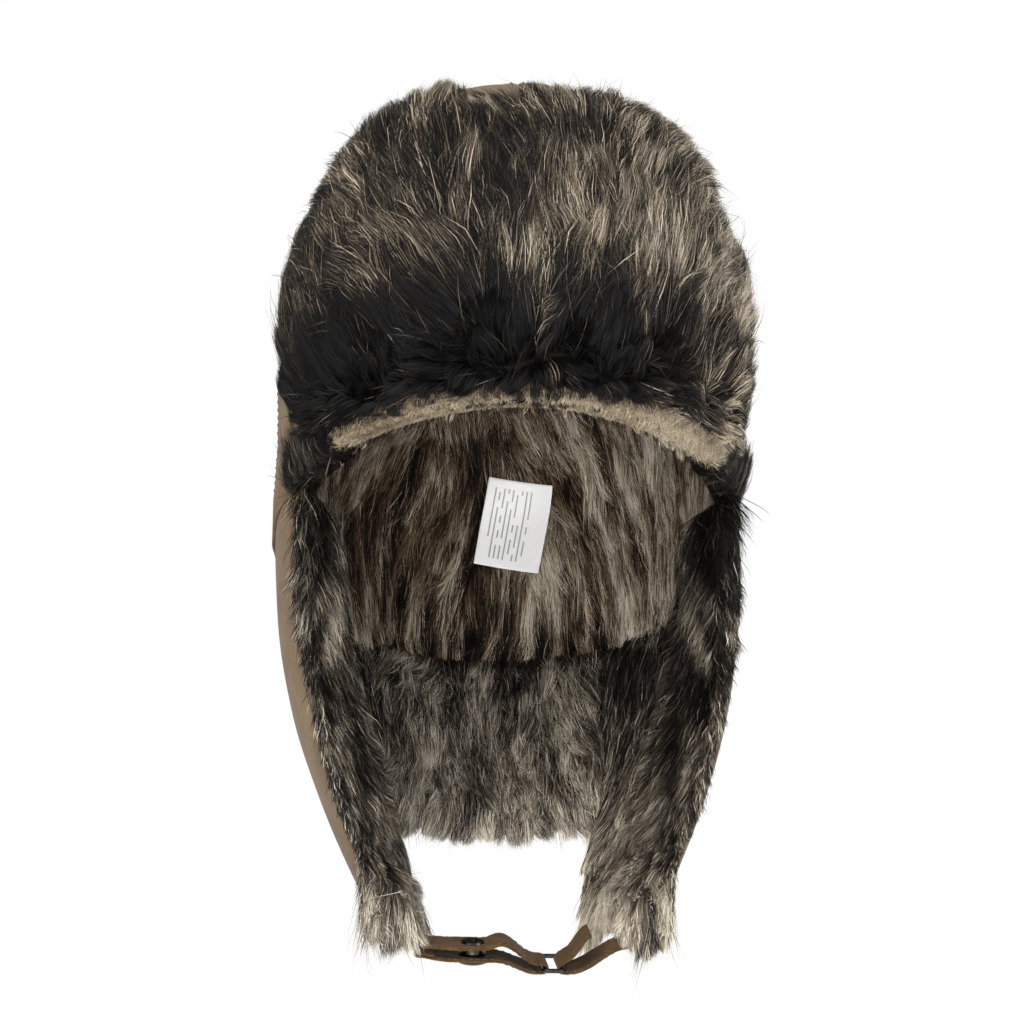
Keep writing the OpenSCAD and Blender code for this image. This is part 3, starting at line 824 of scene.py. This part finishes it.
def neck_tone(p):
    """Pale along the hem, grey above it, and dark in the middle under the crown's seam as painted shade under the
    lining's overhang.
    """
    x, z = p[:, 0], p[:, 2]
    hem = 0.34 * np.exp(-(z + 0.152).clip(0) / 0.01)
    # Painted shade: dark in the middle just under the lining's hem, a little paler towards the sides.
    high = bell((-0.068 - z).clip(0), 0, 0.014) * (0.08 - 0.26 * bell(x, 0, 0.026))
    return 0.43 + hem + high + 0.05 * np.sin(x * 120) * np.sin(z * 90)


def neck_lift(p):
    """The pile stands up beside the crown's seam."""
    return 0.38 + 0.4 * np.exp(-(-0.064 - p[:, 2]).clip(0) / 0.007)


hairs = fur("neck_flap_pile", pelt(pile, ways), 39000, 51, neck_comb, same(0.023), neck_tone,
            skirt_pile, lift=neck_lift, locks=(1000, 150), vary=(0.07, 0.27, 0.2))
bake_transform(hairs)


# ---- Ear flaps ----
# A pair of long flaps, cloth outside and fur inside, that taper forward to the chin strap. Their
# pile is brushed down and forward over the front edge, and pale tufts hang from their tips.
EAR_START, EAR_LOW, EAR_TIP_X, EAR_TIP_Y, EAR_BULGE = 66, 0.208, 0.062, 0.052, 0.004
HEM_FRONT, HEM_REAR = (-0.009, 0.022, -0.028), (-0.020, -0.036, -0.048)
FRONT_LOW, FRONT_HIGH = (0.020, -0.006, 0.050), (0.007, -0.008, -0.075)
EAR_FOOT_DROP, HEM_FADE = 0.007, 6


def curve(p, t):
    """A cubic curve through the first and the last of four points."""
    t = t[..., None]
    return ((1 - t) ** 3 * p[0] + 3 * (1 - t) ** 2 * t * p[1] + 3 * (1 - t) * t * t * p[2]
            + t ** 3 * p[3])


def ear_form(across, up):
    """The left flap's outer face, set out between its four edges."""
    seam_x = NECK_HALF + SEAM_GAP
    end = math.pi - math.asin(seam_x / CROWN_W)
    turn = math.radians(EAR_START) * (1 - across) + end * across

    def top(t):
        return np.stack([CROWN_W * np.sin(t), -CROWN_L * np.cos(t), edge_z(t) - SEAM_GAP], -1)

    corner, crown_end = top(np.array(math.radians(EAR_START))), top(np.array(end))
    tip = np.array([EAR_TIP_X, -EAR_TIP_Y, -EAR_LOW])
    foot_z = -NECK_LOW - EAR_FOOT_DROP
    foot = np.array([seam_x, skirt_y(seam_x, foot_z), foot_z])
    hem = curve([tip, tip + np.array(HEM_FRONT), foot + np.array(HEM_REAR), foot], across)
    front = curve([tip, tip + np.array(FRONT_LOW), corner + np.array(FRONT_HIGH), corner], up)
    rear_z = foot_z + (crown_end[2] - foot_z) * up
    rear = np.stack([seam_x + 0 * up, skirt_y(seam_x, rear_z), rear_z], -1)
    a, b = across[..., None], up[..., None]
    corners = (tip * (1 - a) + foot * a) * (1 - b) + (corner * (1 - a) + crown_end * a) * b
    form = hem * (1 - b) + top(turn) * b + front * (1 - a) + rear * a - corners
    tuck = hem[..., 0] - (tip[0] * (1 - across) + foot[0] * across)
    form[..., 0] += EAR_BULGE * 16 * across * (1 - across) * up * (1 - up)
    form[..., 0] += tuck * ((1 - up) ** HEM_FADE - (1 - up))
    return form


def ear_comb(p):
    """Down, a little forward, and inward at the front edge."""
    x, y, z = p.T
    front = np.exp(-(y + 0.05).clip(0) / 0.02)
    rear = 0.55 * rising(y, 0.01, 0.05) * rising(-z, 0.135, 0.03)
    tips, high = rising(-z, 0.185, 0.02), rising(z, -0.12, 0.04)
    return np.stack([np.sign(x) * ((0.24 * high - 0.06) * front - rear - 0.35 * tips),
                     -0.16 + 0.12 * np.sin(z * 60 + y * 45) - 0.3 * tips, -1 + 0 * x], -1)


def ear_tone(p):
    """Dark with grey locks, cream beside the strap, and darkest at the wearer's left front corner."""
    x, y, z = p.T
    tips = 0.4 * rising(-z, 0.184, 0.014) * rising(-np.abs(x), -0.067, 0.006)
    corner = 0.24 * np.exp(-((x - 0.076) / 0.01) ** 2 - ((z + 0.178) / 0.016) ** 2)
    left = (x > 0) * (0.32 * rising(-z, 0.1, 0.06) - 0.16)
    rear = 0.2 * rising(y, 0.03, 0.03) * rising(-z, 0.15, 0.02)
    cloud = 0.1 * np.sin(y * 80 + z * 35) * np.sin(z * 50)
    shadow = 0.14 * rising(z, -0.13, 0.04) * (0.6 + 0.4 * rising(y, 0, 0.03))
    return 0.34 + tips + rear + cloud + left - corner - shadow


def ear_lift(p):
    """The pile stands up towards the face beside the front edge."""
    return 0.42 + 0.7 * bell(p[:, 1], -0.026, 0.02)


def ear_length(p):
    """Short on the front edge itself, longest beside it, and long again where the tips hang down."""
    x, y, z = p.T
    front, rear = rising(y, -0.054, 0.014), rising(y, 0, 0.03)
    tips = rising(-z, 0.18, 0.015) * rising(-np.abs(x), -0.069, 0.008)
    low = 1 - 0.65 * rising(-z, 0.16, 0.02)
    return (0.013 + 0.027 * front - 0.016 * rear) * low * (1 - tips) + 0.034 * tips


def tip_comb(p):
    """Down and a little inward, over the strap."""
    x = p[:, 0]
    return np.stack([-0.12 * np.sign(x) + 0.15 * np.sin(x * 500), 0 * x, -1 + 0 * x], -1)


def corner_comb(p):
    """Down, outward and a little forward."""
    x = p[:, 0]
    return np.stack([0.35 * np.sign(x), -0.1 + 0 * x, -1 + 0 * x], -1)


# Each part of the pile: its zone of shares, its share of loose hairs and how tight its locks are.
EAR_PARTS = {"rim": ((0, 0.14, 0, 1), 0, (0.5, 0.25)), "front": ((0.14, 0.45, 0, 1), 0.02, (0.82, 0.5)),
             "rear": ((0.45, 1, 0, 1), 0.03, (0.82, 0.5))}
SIDES = (("left", 1), ("right", -1))
across, up = grid(81, 97)
for order, (side, hand) in enumerate(SIDES):
    form = ear_form(across, up) * np.array([hand, 1, 1])
    ways = inward(form, (hand, 0.2, 0), across ** 4, up ** 4)
    creased = form - ways * (lumps(form, 0.035, 20 + order) * 0.0007)[..., None]
    body = side + "_ear_flap"
    ear_cloth = panel_piece(side + "_ear_cloth", creased, form + ways * CLOTH_T)
    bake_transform(ear_cloth)
    fitted(ear_cloth, cloth, body + "_shell")
    hem_stitching(side + "_ear_hem_stitching", creased, ways, body)
    full = puff(across, up, form, 5, (1, 0, 1, 1))
    roll = 0.008 * bell(form[..., 1], -0.026, 0.018) * (4 * up * (1 - up)).clip(0, 1) * full
    pile = form + ways * (CLOTH_T + LAYER_GAP + PILE_EDGE + PILE_FULL * full + roll)[..., None]
    hide = panel_piece(side + "_ear_hide", pile, form + ways * (CLOTH_T + LAYER_GAP))
    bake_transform(hide)
    fitted(hide, undercoat, body + "_fur")
    skin = pelt(*rolled(pile, ways, creased, "start", first=0.6))
    for part, (zone, wild, tight) in EAR_PARTS.items():
        hairs = fur(f"{side}_ear_pile_{part}", skin, 38000, 61 + order * 9 + len(part), ear_comb,
                    ear_length, ear_tone, skirt_pile, lift=ear_lift, locks=(1000, 150),
                    tight=tight, wild=wild, zone=zone, vary=(0.07, 0.27, 0.17), droop=0.5)
        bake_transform(hairs)
    # A cream tuft at the flap's tip hangs over the root of the strap.
    wide, drop = grid(17, 9)
    tuft = np.stack([hand * (0.047 + 0.017 * wide), -0.0525 - 0.0015 * np.sin(np.pi * wide),
                     -0.202 - 0.01 * drop - 0.003 * np.sin(9 * wide + order)], -1)
    hairs = fur(side + "_tip_tuft", pelt(tuft, facing(tuft, (0, -1, 0))), 5500, 91 + order, tip_comb,
                lambda p: 0.018 + 0.003 * np.sin(p[:, 0] * 900), same(0.66), skirt_pile, lift=0.25,
                locks=(160, 30), tight=(0.75, 0.4), wild=0.01, vary=(0.1, 0.15, 0.16), droop=0.5)
    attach(hairs, body)

# Between the brow and each ear flap the fur laps over the crown's edge and stands out in a tuft.
for side, hand in SIDES:
    across, round_edge = grid(25, 13)
    turn = np.radians(hand * (46 + 23 * across))
    bend = np.pi * round_edge
    low = edge_z(turn)
    off = -0.0015 + 0.0035 * np.cos(bend)
    corner = crown_level(turn, low + 0.003 * np.abs(1 - 2 * round_edge) ** 2, off)
    corner[..., 2] -= 0.002 * np.sin(bend)
    level = unit(corner * np.array([1, 1, 0]))
    ways = unit(level * np.cos(bend)[..., None]
                + np.array([0, 0, -1]) * (0.3 + np.sin(bend))[..., None])
    hairs = fur(side + "_corner_tuft", pelt(corner, ways), 16000, 81 + hand, corner_comb,
                same(0.02), same(0.16), skirt_pile, lift=0.4, locks=(260, 40),
                vary=(0.05, 0.12, 0.14))
    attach(hairs, "crown")


# ---- Chin strap ----
# A strap of the shell cloth, folded double and topstitched along both edges. It is sewn in under the
# right ear flap, runs to the ring, turns round it and comes back to its snap under itself.
STRAP_W, STRAP_T, STRAP_TIP = 0.02, 0.0012, math.radians(21)
STRAP_Y, STRAP_LOW = 0.042, 0.227944
SNAP_X, RING_X, RING_Z, FAR_BAR_X = -0.018579, 0.011579, -0.0032, 0.019579
ROOT_X, ROOT_RISE, TURN_R, TURN_END_X, PLY_END_X = 0.053579, 0.00698, 0.0019, 0.009179, 0.0089
SNAP_STACK, FLAT_HALF, SLACK_H = 0.0052, 0.006, 0.0072
TAIL_OUT, TAIL_RISE, HEM_LEN, STITCH_Y = 0.025, 0.002, 0.0085, 0.0083


def strap_spot(x, y, z):
    """A place beside the strap, side-on x and z and across y, in the hat's frame."""
    c, s = math.cos(STRAP_TIP), math.sin(STRAP_TIP)
    return np.stack([x + 0 * z, -STRAP_Y + y * c - z * s, -STRAP_LOW + y * s + z * c], -1)


def wave(p, q, n):
    """An even rise or fall from one side-on place to another."""
    t = np.linspace(0, 1, n + 1)
    return np.stack([p[0] + (q[0] - p[0]) * t, p[1] + (q[1] - p[1]) * t * t * (3 - 2 * t)], -1)


def arc(x, first, last):
    """The strap's turn round a bar of the ring, every 15 degrees."""
    way = math.copysign(1, last - first)
    a = np.radians(np.arange(first, last + way, 15 * way))
    return np.stack([x + TURN_R * np.cos(a), RING_Z + TURN_R * np.sin(a)], -1)


def resampled(path, gap=0.0008):
    """Places along a side-on path at even gaps, and how far along it they are."""
    run = lengths_along(path)
    keep = np.concatenate([[True], np.diff(run) > 1e-7])
    path, run = path[keep], run[keep]
    at = np.linspace(0, run[-1], max(4, int(run[-1] / gap)))
    return np.stack([np.interp(at, run, path[:, k]) for k in range(2)], -1), at


def strap_piece(name, path, node, body, stitched=True):
    """A folded strap along a side-on path, with rolled edges, small waves and its topstitching."""
    path, run = resampled(path)
    for _ in range(3):
        path[1:-1] = (path[:-2] + 2 * path[1:-1] + path[2:]) / 4
    heading = unit(np.gradient(path, axis=0))
    out = np.stack([-heading[:, 1], heading[:, 0]], -1)
    edge = np.linspace(-1, 1, 33)
    section = []
    for side in (1, -1):
        for y in (edge if side == 1 else edge[::-1]):
            thick = STRAP_T / 2 * (1 - abs(y) ** 10) ** 0.5 + 0.00002
            thick -= 0.00012 * math.exp(-((abs(y) - 0.86) / 0.03) ** 2)
            section.append((y * STRAP_W / 2, side * thick))
    n, k = len(path), len(section)
    verts = np.empty((n, k, 3))
    for j, (y, rise) in enumerate(section):
        ripple = 0.00005 * np.sin(run * 900 + y * 260) + 0.00012 * np.sin(run * 320 - y * 170)
        side_on = path + out * (rise + ripple)[:, None]
        verts[:, j] = strap_spot(side_on[:, 0], y, side_on[:, 1])
    faces = [(i * k + j, i * k + (j + 1) % k, (i + 1) * k + (j + 1) % k, (i + 1) * k + j)
             for i in range(n - 1) for j in range(k)]
    faces += [tuple(range(k))[::-1], tuple((n - 1) * k + j for j in range(k))]
    piece = mesh_piece(name, verts, faces)
    piece.data.materials.append(strap_cloth)
    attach(piece, body)
    if node:
        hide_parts(node)
    if stitched:
        for row, y in (("front", -STITCH_Y), ("back", STITCH_Y)):
            for face, side in (("upper", 1), ("under", -1)):
                low = path + out * side * (STRAP_T / 2 - 0.00005)
                high = low + out * side
                line = strap_spot(low[:, 0], y, low[:, 1])
                flat = strap_spot(high[:, 0], y, high[:, 1]) - line
                stitch_row(f"{name}_stitching_{row}_{face}", line, unit(flat), body, 0.0022, 0.0009,
                           0.00016)


# The same cloth on the strap is darker, and its ribbed weave shows where the nap is pressed flat.
RIB_MM = 0.8
strap_cloth, shader = finish_of("polyester_strap_cloth", Roughness=0.8, Sheen_Weight=0.04,
                                Specular_IOR_Level=0.15)
where = add(strap_cloth, "TexCoord").outputs["Object"]
rib = add(strap_cloth, "TexWave", {"Vector": where, "Scale": 1000 / RIB_MM / 6.28, "Distortion": 1.0,
                                  "Detail": 2.0}, wave_type="BANDS", bands_direction="DIAGONAL")
worn = add(strap_cloth, "TexNoise", {"Vector": where, "Scale": 180, "Detail": 4.0})
tinted(strap_cloth, shader, worn.outputs["Fac"], (0.3, "#402d15"), (0.6, "#523b1e"), (0.8, "#66502c"))
raised(strap_cloth, shader, rib.outputs["Fac"], 0.3, 0.0002)

tail_path = np.concatenate([wave((SNAP_X - TAIL_OUT, TAIL_RISE), (SNAP_X - FLAT_HALF - 0.003, 0), 4),
                            wave((SNAP_X + FLAT_HALF + 0.003, 0), (PLY_END_X, RING_Z - TURN_R), 12)])
slack = (SNAP_X + FLAT_HALF + 0.005, SLACK_H)
main_path = np.concatenate([wave((0.001 - ROOT_X, ROOT_RISE), (SNAP_X - FLAT_HALF, SNAP_STACK), 12),
                            wave((SNAP_X + FLAT_HALF, SNAP_STACK), slack, 8),
                            wave((slack[0] + 0.001, slack[1]), (PLY_END_X, RING_Z + TURN_R), 12)])
strap_piece("chin_strap_main_ply", main_path, "chin_strap", "chin_strap")
strap_piece("chin_strap_tail_ply", tail_path, "strap_tail", "strap_tail")

# The tail's end is turned over once more and sewn across.
hem_path = tail_path[tail_path[:, 0] < SNAP_X - TAIL_OUT + HEM_LEN] + np.array([0, STRAP_T])
hem_path = np.concatenate([[[SNAP_X - 0.0252, TAIL_RISE]], [[SNAP_X - 0.0254, 0.0026]], hem_path])
strap_piece("chin_strap_tail_hem", hem_path, None, "strap_tail", stitched=False)
y = np.linspace(-HEM_LEN, HEM_LEN, 24)
hem_x = SNAP_X - 0.0175
hem_z = float(np.interp(hem_x, tail_path[:, 0], tail_path[:, 1])) - STRAP_T / 2
stitch_row("chin_strap_tail_hem_stitching", strap_spot(hem_x, y, hem_z + 0 * y),
           strap_spot(0 * y, 0 * y, -1 + 0 * y) - strap_spot(0 * y, 0 * y, 0 * y), "strap_tail",
           0.0022, 0.0009, 0.0002)

turn_path = np.concatenate([[(TURN_END_X, RING_Z - TURN_R)], arc(RING_X, -90, 90),
                            [(TURN_END_X, RING_Z + TURN_R)]])
strap_piece("chin_strap_turn", turn_path, "strap_turn", "strap_ring", stitched=False)
loop_path = np.concatenate([
    wave((ROOT_X - 0.005, ROOT_RISE), (FAR_BAR_X + 0.003, RING_Z - TURN_R), 14),
    arc(FAR_BAR_X, -90, -240),
    wave((FAR_BAR_X + 0.002, RING_Z + TURN_R + 0.002), (ROOT_X - 0.022, ROOT_RISE + 0.0045), 10)])
strap_piece("ring_loop_strap", loop_path, "ring_loop", "ring_loop")


# ---- Ring and snap ----
# A wire ring and a press snap of brass, plated in dark gunmetal and tumbled, with a soft gloss. Their very dark grey
# is partly the plating and partly a painted dark reflection. They are the CAD's own solids.
gunmetal_and_dark_reflection, shader = finish_of("gunmetal_brass_and_painted_reflection", Metallic=1)
where = add(gunmetal_and_dark_reflection, "TexCoord").outputs["Object"]
tumbled = add(gunmetal_and_dark_reflection, "TexNoise", {"Vector": where, "Scale": 900, "Detail": 3.0})
# Very dark colours: partly the plating's own, partly painted reflection of dark surroundings.
tinted(gunmetal_and_dark_reflection, shader, tumbled.outputs["Fac"], (0.3, "#2b2a26"), (0.7, "#403e38"))
gloss = add(gunmetal_and_dark_reflection, "MapRange", {"Value": tumbled.outputs["Fac"], "To Min": 0.16, "To Max": 0.28})
link(gunmetal_and_dark_reflection, gloss.outputs["Result"], shader.inputs["Roughness"])
raised(gunmetal_and_dark_reflection, shader, tumbled.outputs["Fac"], 0.12, 0.0002)
for node in ("strap_ring", "snap_cap", "snap_socket", "snap_stud", "snap_post"):
    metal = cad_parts[node]
    metal.data.materials.clear()
    metal.data.materials.append(gunmetal_and_dark_reflection)


# ---- Care label ----
# A satin ribbon label, cut with heat so that its edges don't fray, and caught in the back seam of
# the lining along its left side. It lies on the pile and curls a little. Its lines are blanks.
LABEL_W, LABEL_H, LABEL_T, LABEL_DROP = 0.032, 0.043, 0.0003, 0.0017
LABEL_LEAN = math.radians(10)
caught = placed("care_label", [bpy.data.objects["lining_hide_back_left"],
                               bpy.data.objects["lining_hide_back_right"]])
across, up = grid(33, 41)
side, rise = LABEL_W * (0.5 - across), LABEL_H * (up - 0.5)
x = caught.x + side * math.cos(LABEL_LEAN) + rise * math.sin(LABEL_LEAN)
z = caught.z - LABEL_DROP + rise * math.cos(LABEL_LEAN) - side * math.sin(LABEL_LEAN)
off = PILE_ROOT - 0.0052
ribbon = crown_level(np.pi - np.arcsin(x / (CROWN_W + off)), z, off)
out = facing(ribbon, (0, -1, 0))
curl = (0.0016 * (1 - across) ** 3 + 0.0006 * np.sin(up * 7 + across * 2)
        + 0.0018 * (2 * up - 1) ** 4 * (1 - across))
ribbon = ribbon + out * curl[..., None]
label = panel_piece("care_label_ribbon", ribbon + out * LABEL_T, ribbon)
satin, shader = finish_of("satin_ribbon", Roughness=0.42)
spot = add(satin, "UVMap", uv_map="cut").outputs["UV"]
split = add(satin, "SeparateXYZ", {"Vector": spot})
# Grey bars in nine lines across the label, broken at random, stand for its printed lines.
LINES = 9


def within(value, low, high):
    """1 where a value lies between two numbers."""
    over = add(satin, "Math", {0: value, 1: low}, operation="GREATER_THAN").outputs[0]
    under = add(satin, "Math", {0: value, 1: high}, operation="LESS_THAN").outputs[0]
    return add(satin, "Math", {0: over, 1: under}, operation="MULTIPLY").outputs[0]


line_no = add(satin, "Math", {0: split.outputs["X"], 1: LINES / 0.62}, operation="MULTIPLY")
line_part = add(satin, "Math", {0: line_no.outputs[0]}, operation="FRACT")
word = add(satin, "CombineXYZ", {"X": line_no.outputs[0], "Y": split.outputs["Y"]})
snapped = add(satin, "VectorMath", {0: word.outputs[0], 1: (1, 0.085, 1)}, operation="SNAP")
chance = add(satin, "TexWhiteNoise", {"Vector": snapped.outputs[0]}, noise_dimensions="3D")
inked = within(line_part.outputs[0], 0.34, 0.66)
for part in (within(split.outputs["X"], 0.3, 0.92), within(split.outputs["Y"], 0.1, 0.9),
             within(chance.outputs["Value"], 0.25, 1.1)):
    inked = add(satin, "Math", {0: inked, 1: part}, operation="MULTIPLY").outputs[0]
ink = add(satin, "Mix", {"Factor": inked}, data_type="RGBA")
ink.inputs[6].default_value = linear("#faf9f7")
ink.inputs[7].default_value = linear("#a3a2a4")
link(satin, ink.outputs[2], shader.inputs["Base Color"])
weave = add(satin, "TexWave", {"Vector": spot, "Scale": 40.0, "Distortion": 0.6})
raised(satin, shader, weave.outputs["Fac"], 0.12, 0.0001)
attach(label, "crown")
fitted(label, satin, "care_label")


# ---- Studio ----
# A plain pale floor below the hat, which is held up by the head it is worn on, and soft lamps: a
# large one high on the left in front, a wide one on the right, and one low in front for the lining.
floor_top = bpy.data.meshes.new("studio_floor")
floor_top.from_pydata([(x, y, -0.52) for x, y in ((-6, -6), (6, -6), (6, 6), (-6, 6))], [],
                      [(0, 1, 2, 3)])
floor = bpy.data.objects.new("studio_floor", floor_top)
bpy.context.scene.collection.objects.link(floor)
paper, shader = finish_of("white_paper", Base_Color=linear("#f2f2f2"), Roughness=0.9)


def either_ray(material, *kinds):
    """1 for the rays of these kinds and 0 for all others."""
    ray = add(material, "LightPath")
    share = ray.outputs[f"Is {kinds[0]} Ray"]
    for kind in kinds[1:]:
        both = {0: share, 1: ray.outputs[f"Is {kind} Ray"]}
        share = add(material, "Math", both, operation="MAXIMUM").outputs[0]
    return share


# The camera and reflections see the paper and the air as plain white.
white = add(paper, "Emission", {"Color": (1, 1, 1, 1), "Strength": 0.6})
both = add(paper, "AddShader")
fade = add(paper, "MixShader", {"Fac": either_ray(paper, "Camera", "Glossy")})
surface_out = paper.node_tree.nodes["Material Output"]
link(paper, shader.outputs[0], both.inputs[0])
link(paper, white.outputs[0], both.inputs[1])
link(paper, shader.outputs[0], fade.inputs[1])
link(paper, both.outputs[0], fade.inputs[2])
link(paper, fade.outputs[0], surface_out.inputs["Surface"])
floor_top.materials.append(paper)

world = bpy.data.worlds.new("studio")
bpy.context.scene.world = world
world.use_nodes = True
air = world.node_tree
dim = air.nodes["Background"]
dim.inputs["Color"].default_value = (0.86, 0.9, 1, 1)
dim.inputs["Strength"].default_value = 0.55
white = add(world, "Background", {"Color": (1, 1, 1, 1), "Strength": 1.0})
fade = add(world, "MixShader", {"Fac": either_ray(world, "Camera", "Glossy", "Transmission")})
link(world, dim.outputs[0], fade.inputs[1])
link(world, white.outputs[0], fade.inputs[2])
link(world, fade.outputs[0], air.nodes["World Output"].inputs["Surface"])


def lamp(name, place, towards, size, watts, colour="#ffffff"):
    """A round soft lamp at a place, turned towards another."""
    data = bpy.data.lights.new(name, "AREA")
    data.shape = "DISK"
    data.size, data.energy, data.color = size, watts, linear(colour)[:3]
    body = bpy.data.objects.new(name, data)
    bpy.context.scene.collection.objects.link(body)
    body.location = place
    body.rotation_mode = "QUATERNION"
    body.rotation_quaternion = (Vector(towards) - Vector(place)).to_track_quat("-Z", "Y")


lamp("key_lamp", (-1.1, -1.5, 1.1), (0, 0, 0), 0.9, 30, "#fff8ee")
lamp("fill_lamp", (1.5, -1.2, 0.3), (0, 0, 0), 1.2, 14, "#f2f6ff")
lamp("low_lamp", (-0.25, -1.4, -0.55), (0.02, 0.05, -0.05), 0.8, 32)
lamp("back_lamp", (0.6, 1.6, 1.2), (0, 0, 0), 1.0, 20)


# ---- Image points ----
# How far each thing shows in the picture from its image point, in pixels.
visible = [piece for piece in bpy.data.objects
           if piece.type == "MESH" and piece is not floor and not piece.hide_render]
whole = tree_of([piece for piece in visible if "OFBake" not in piece.data.uv_layers])
MOST_TESTED = 20000


def corners_of(piece):
    return np.array([v.co[:] for v in piece.data.vertices])


def showing(*names):
    """Where the vertices of some pieces show. Those of a small piece are left out if hidden."""
    spots = np.concatenate([corners_of(bpy.data.objects[name]) for name in names])
    if len(spots) < MOST_TESTED:
        ways = [Vector(spot) - camera.location for spot in spots]
        spots = spots[[whole.ray_cast(camera.location, way.normalized(), way.length - 0.0006)[0] is None
                       for way in ways]]
    return in_picture(spots)


def middle(spots):
    return (spots.min(0) + spots.max(0)) / 2


def lowest(spots, x=None):
    """The lowest of some places in the picture, near an x if there is one."""
    if x is not None:
        spots = spots[np.abs(spots[:, 0] - x) < 4]
        return np.array([x, np.percentile(spots[:, 1], 97)])
    tip = spots[spots[:, 1] > np.percentile(spots[:, 1], 99)]
    return tip.mean(0)


corners = in_picture(np.array([ribbon[k, m] + out[k, m] * LABEL_T for k, m in ((-1, -1), (0, 0))]))
everything = np.concatenate([in_picture(corners_of(piece)) for piece in visible])
low, high = np.percentile(everything, 0.05, axis=0), np.percentile(everything, 99.95, axis=0)
shown = {
    "left": (low[0], None), "right": (high[0], None), "top": (None, low[1]), "bottom": (None, high[1]),
    "care_label": middle(showing("care_label_ribbon")), "label_top_left": corners[0], "label_bottom_right": corners[1],
    "brow_middle": lowest(showing("brow_rim"), POINTS["brow_middle"][0]),
    "snap_cap": middle(showing("snap_cap")), "strap_ring": middle(showing("strap_ring")),
    "neck_hem": lowest(showing("neck_flap_pile"), POINTS["neck_hem"][0]),
    "right_ear_tip": lowest(showing("right_ear_pile_front", "right_ear_pile_rim")),
    "left_ear_tip": lowest(showing("left_ear_pile_front", "left_ear_pile_rim")),
    "crown_top": (POINTS["crown_top"][0], showing("crown_gore_front_left", "crown_gore_front_right")[:, 1].min()),
}
({name: [None if want is None else round(float(is_at - want), 1)
                  for is_at, want in zip(shown[name], point)] for name, point in POINTS.items()})
bpy.context.scene.view_settings.view_transform = "Standard"
